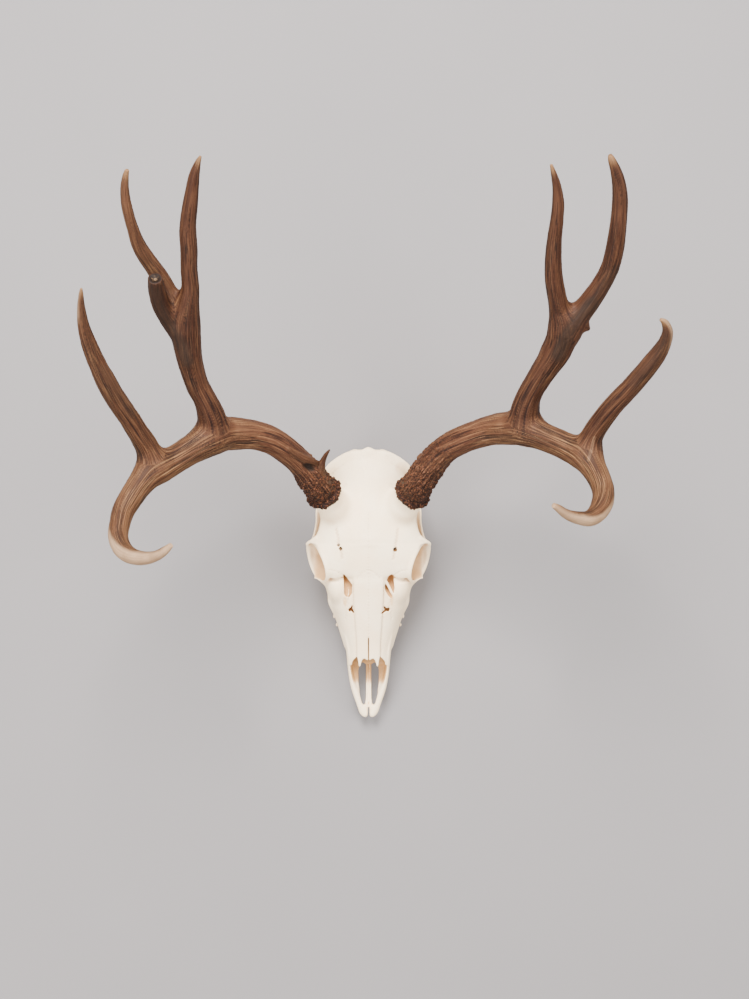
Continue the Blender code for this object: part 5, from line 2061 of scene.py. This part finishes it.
def antler_finish(mottle):
    finish, tree, shader = new_finish("antler")
    patches = placed_group(tree, mottle, Large=26.0, Small=1.6)
    speck = patches["Specks"]
    groove, grain, shade, rough = (mark(tree, name) for name in ("groove", "grain", "shade", "rough"))
    pearl, patch, core, dent = (mark(tree, name) for name in ("pearl", "patch", "core", "dent"))
    from_burr, to_tip, pale = (mark(tree, name) for name in ("from_burr", "to_tip", "pale"))
    flow = mark(tree, "flow_a", "Vector")
    streak = noise(tree, stretched(tree, flow, 1.6, 80.0), 1.0, 3, 0.6)
    fine = noise(tree, stretched(tree, flow, 0.8, 34.0), 1.0, 3, 0.65)
    band = noise(tree, stretched(tree, flow, 8.0, 110.0), 1.0, 2, 0.5)

    ridge = times(tree, spread(tree, streak, 0.45, 0.68), spread(tree, grain, 0.35, 0.65))
    outer = minus(tree, spread(tree, from_burr, 110.0, 200.0), shade)
    # Painted highlight along the pale lines, broken up by the fine streaks
    painted_highlight = spread(tree, patch, 0.0, 1.0, 0.0, 1.0, False)
    painted_highlight = times(tree, painted_highlight, spread(tree, fine, 0.36, 0.56, 0.25, 1.0))
    foot = spread(tree, from_burr, 10.0, 55.0, 1.0, 0.0)
    foot = maths(tree, "MAXIMUM", foot, times(tree, rough, 0.45))
    glint = times(tree, spread(tree, fine, 0.5, 0.7), spread(tree, pearl, 0.5, 0.95))
    # Painted highlight and painted shade as specks over the pearled foot
    lit = times(tree, spread(tree, speck, 0.64, 0.92), times(tree, rough, 0.44))
    shaded_specks = times(tree, spread(tree, speck, 0.45, 0.2), times(tree, rough, 0.9))
    tip = plus(tree, to_tip, times(tree, minus(tree, streak, 0.5), 30.0))
    chalky = plus(tree, core, times(tree, minus(tree, speck, 0.5), 0.7))
    ivory = tinted(tree, patches["Patches"], IVORY_WARM, IVORY_PALE)
    ivory = tinted(tree, spread(tree, fine, 0.47, 0.3, 0.0, 0.6), ivory, IVORY_STREAK)

    colour = layered(tree, tinted(tree, patches["Patches"], ANTLER_DEEP, ANTLER_BROWN), (
        (spread(tree, band, 0.5, 0.68, 0.0, 0.6), BAND_DARK),
        (spread(tree, band, 0.5, 0.34, 0.0, 0.5), BAND_LIGHT),
        (times(tree, ridge, 0.75), RIDGE_TAN),
        (spread(tree, groove, 0.6, 0.0, 0.0, 0.85), GROOVE_DARK),
        (spread(tree, fine, 0.53, 0.66, 0.0, 0.7), STREAK_LIGHT),
        (spread(tree, fine, 0.46, 0.33, 0.0, 0.82), STREAK_DARK),
        (shade, REAR_SHADE, "MULTIPLY"),
        (maths(tree, "MAXIMUM", outer, 0.0), OUTER_GOLD, "MULTIPLY"),
        # Painted shade and painted highlight along the given lines
        (spread(tree, patch, 0.0, -1.0, 0.0, 0.7, False), PAINTED_SHADE),
        (painted_highlight, PAINTED_HIGHLIGHT),
        (times(tree, foot, 0.92), FOOT_DARK),
        (spread(tree, pearl, 0.3, 0.9, 0.0, 0.6), PEARL_RED),
        (times(tree, glint, 0.65), PEARL_GLINT),
        (lit, FOOT_LIT),
        (shaded_specks, FOOT_SPECK_SHADE),
        # Painted shade in the dents
        (dent, DENT_SHADE),
        (spread(tree, tip, 0.0, 11.0, 0.6, 0.0), TIP_TAN),
        (times(tree, pale, 0.94), ivory),
        (spread(tree, core, 0.05, 0.2, 0.0, 0.95), CORE_DARK),
        (spread(tree, chalky, 0.68, 0.95, 0.0, 0.6), CORE_CHALK),
    ))
    tree.links.new(colour, shader.inputs["Base Color"])
    tree.links.new(between(tree, speck, 0.55, 0.72), shader.inputs["Roughness"])
    height = plus(tree, times(tree, fine, 0.7), times(tree, speck, 0.3))
    tree.links.new(bump(tree, height, 0.5, 0.3), shader.inputs["Normal"])
    shader.inputs["Specular IOR Level"].default_value = 0.12
    return finish


# Stage

def soft_light(name, place, size, power):
    lamp = bpy.data.lights.new(name, "AREA")
    lamp.shape = "DISK"
    lamp.size = size
    lamp.energy = power
    item = bpy.data.objects.new(name, lamp)
    item.location = place
    item.rotation_mode = "QUATERNION"
    item.rotation_quaternion = (-Vector(place)).to_track_quat("-Z", "Y")
    bpy.context.scene.collection.objects.link(item)


def make_stage():
    finish, tree, shader = new_finish("pale floor")
    cloud = noise(tree, add(tree, "ShaderNodeTexCoord").outputs["Object"], 3.0, 3)
    tree.links.new(tinted(tree, cloud, FLOOR_DARK, FLOOR_PALE), shader.inputs["Base Color"])
    shader.inputs["Roughness"].default_value = 0.8
    corners = [(x * FLOOR_HALF, y * FLOOR_HALF, 0) for x, y in ((-1, -1), (1, -1), (1, 1), (-1, 1))]
    floor = mesh_object("floor", np.array(corners), np.array([(0, 1, 2, 3)]))
    floor.data.materials.append(finish)
    for light in LIGHTS:
        soft_light(*light)
    world = bpy.data.worlds.new("soft room")
    world.use_nodes = True
    sky = world.node_tree.nodes["Background"]
    sky.inputs["Color"].default_value = ROOM_COLOUR
    sky.inputs["Strength"].default_value = ROOM_STRENGTH
    bpy.context.scene.world = world


def make_camera():
    camera = bpy.data.objects.new("camera", bpy.data.cameras.new("camera"))
    camera.data.sensor_fit = "VERTICAL"
    camera.data.sensor_width, camera.data.sensor_height = SENSOR
    camera.data.lens = SENSOR[1] * CAMERA_FOCUS / PHOTO_HEIGHT
    camera.data.clip_end = CAMERA_REACH
    x, ahead, z = CAMERA_PLACE
    camera.location = in_world(1, x, -ahead, z)
    bpy.context.scene.collection.objects.link(camera)
    bpy.context.scene.camera = camera


def main():
    make_camera()
    make_stage()
    mottle, pores = mottle_group(), pores_group()
    make_skull(bone_finish(mottle, pores))
    make_teeth(enamel_finish(mottle, pores))
    finish, tree = antler_finish(mottle), antler_relief_tree()
    for antler in ANTLERS:
        part_antler(grow_antler(antler, finish, tree), antler)


main()
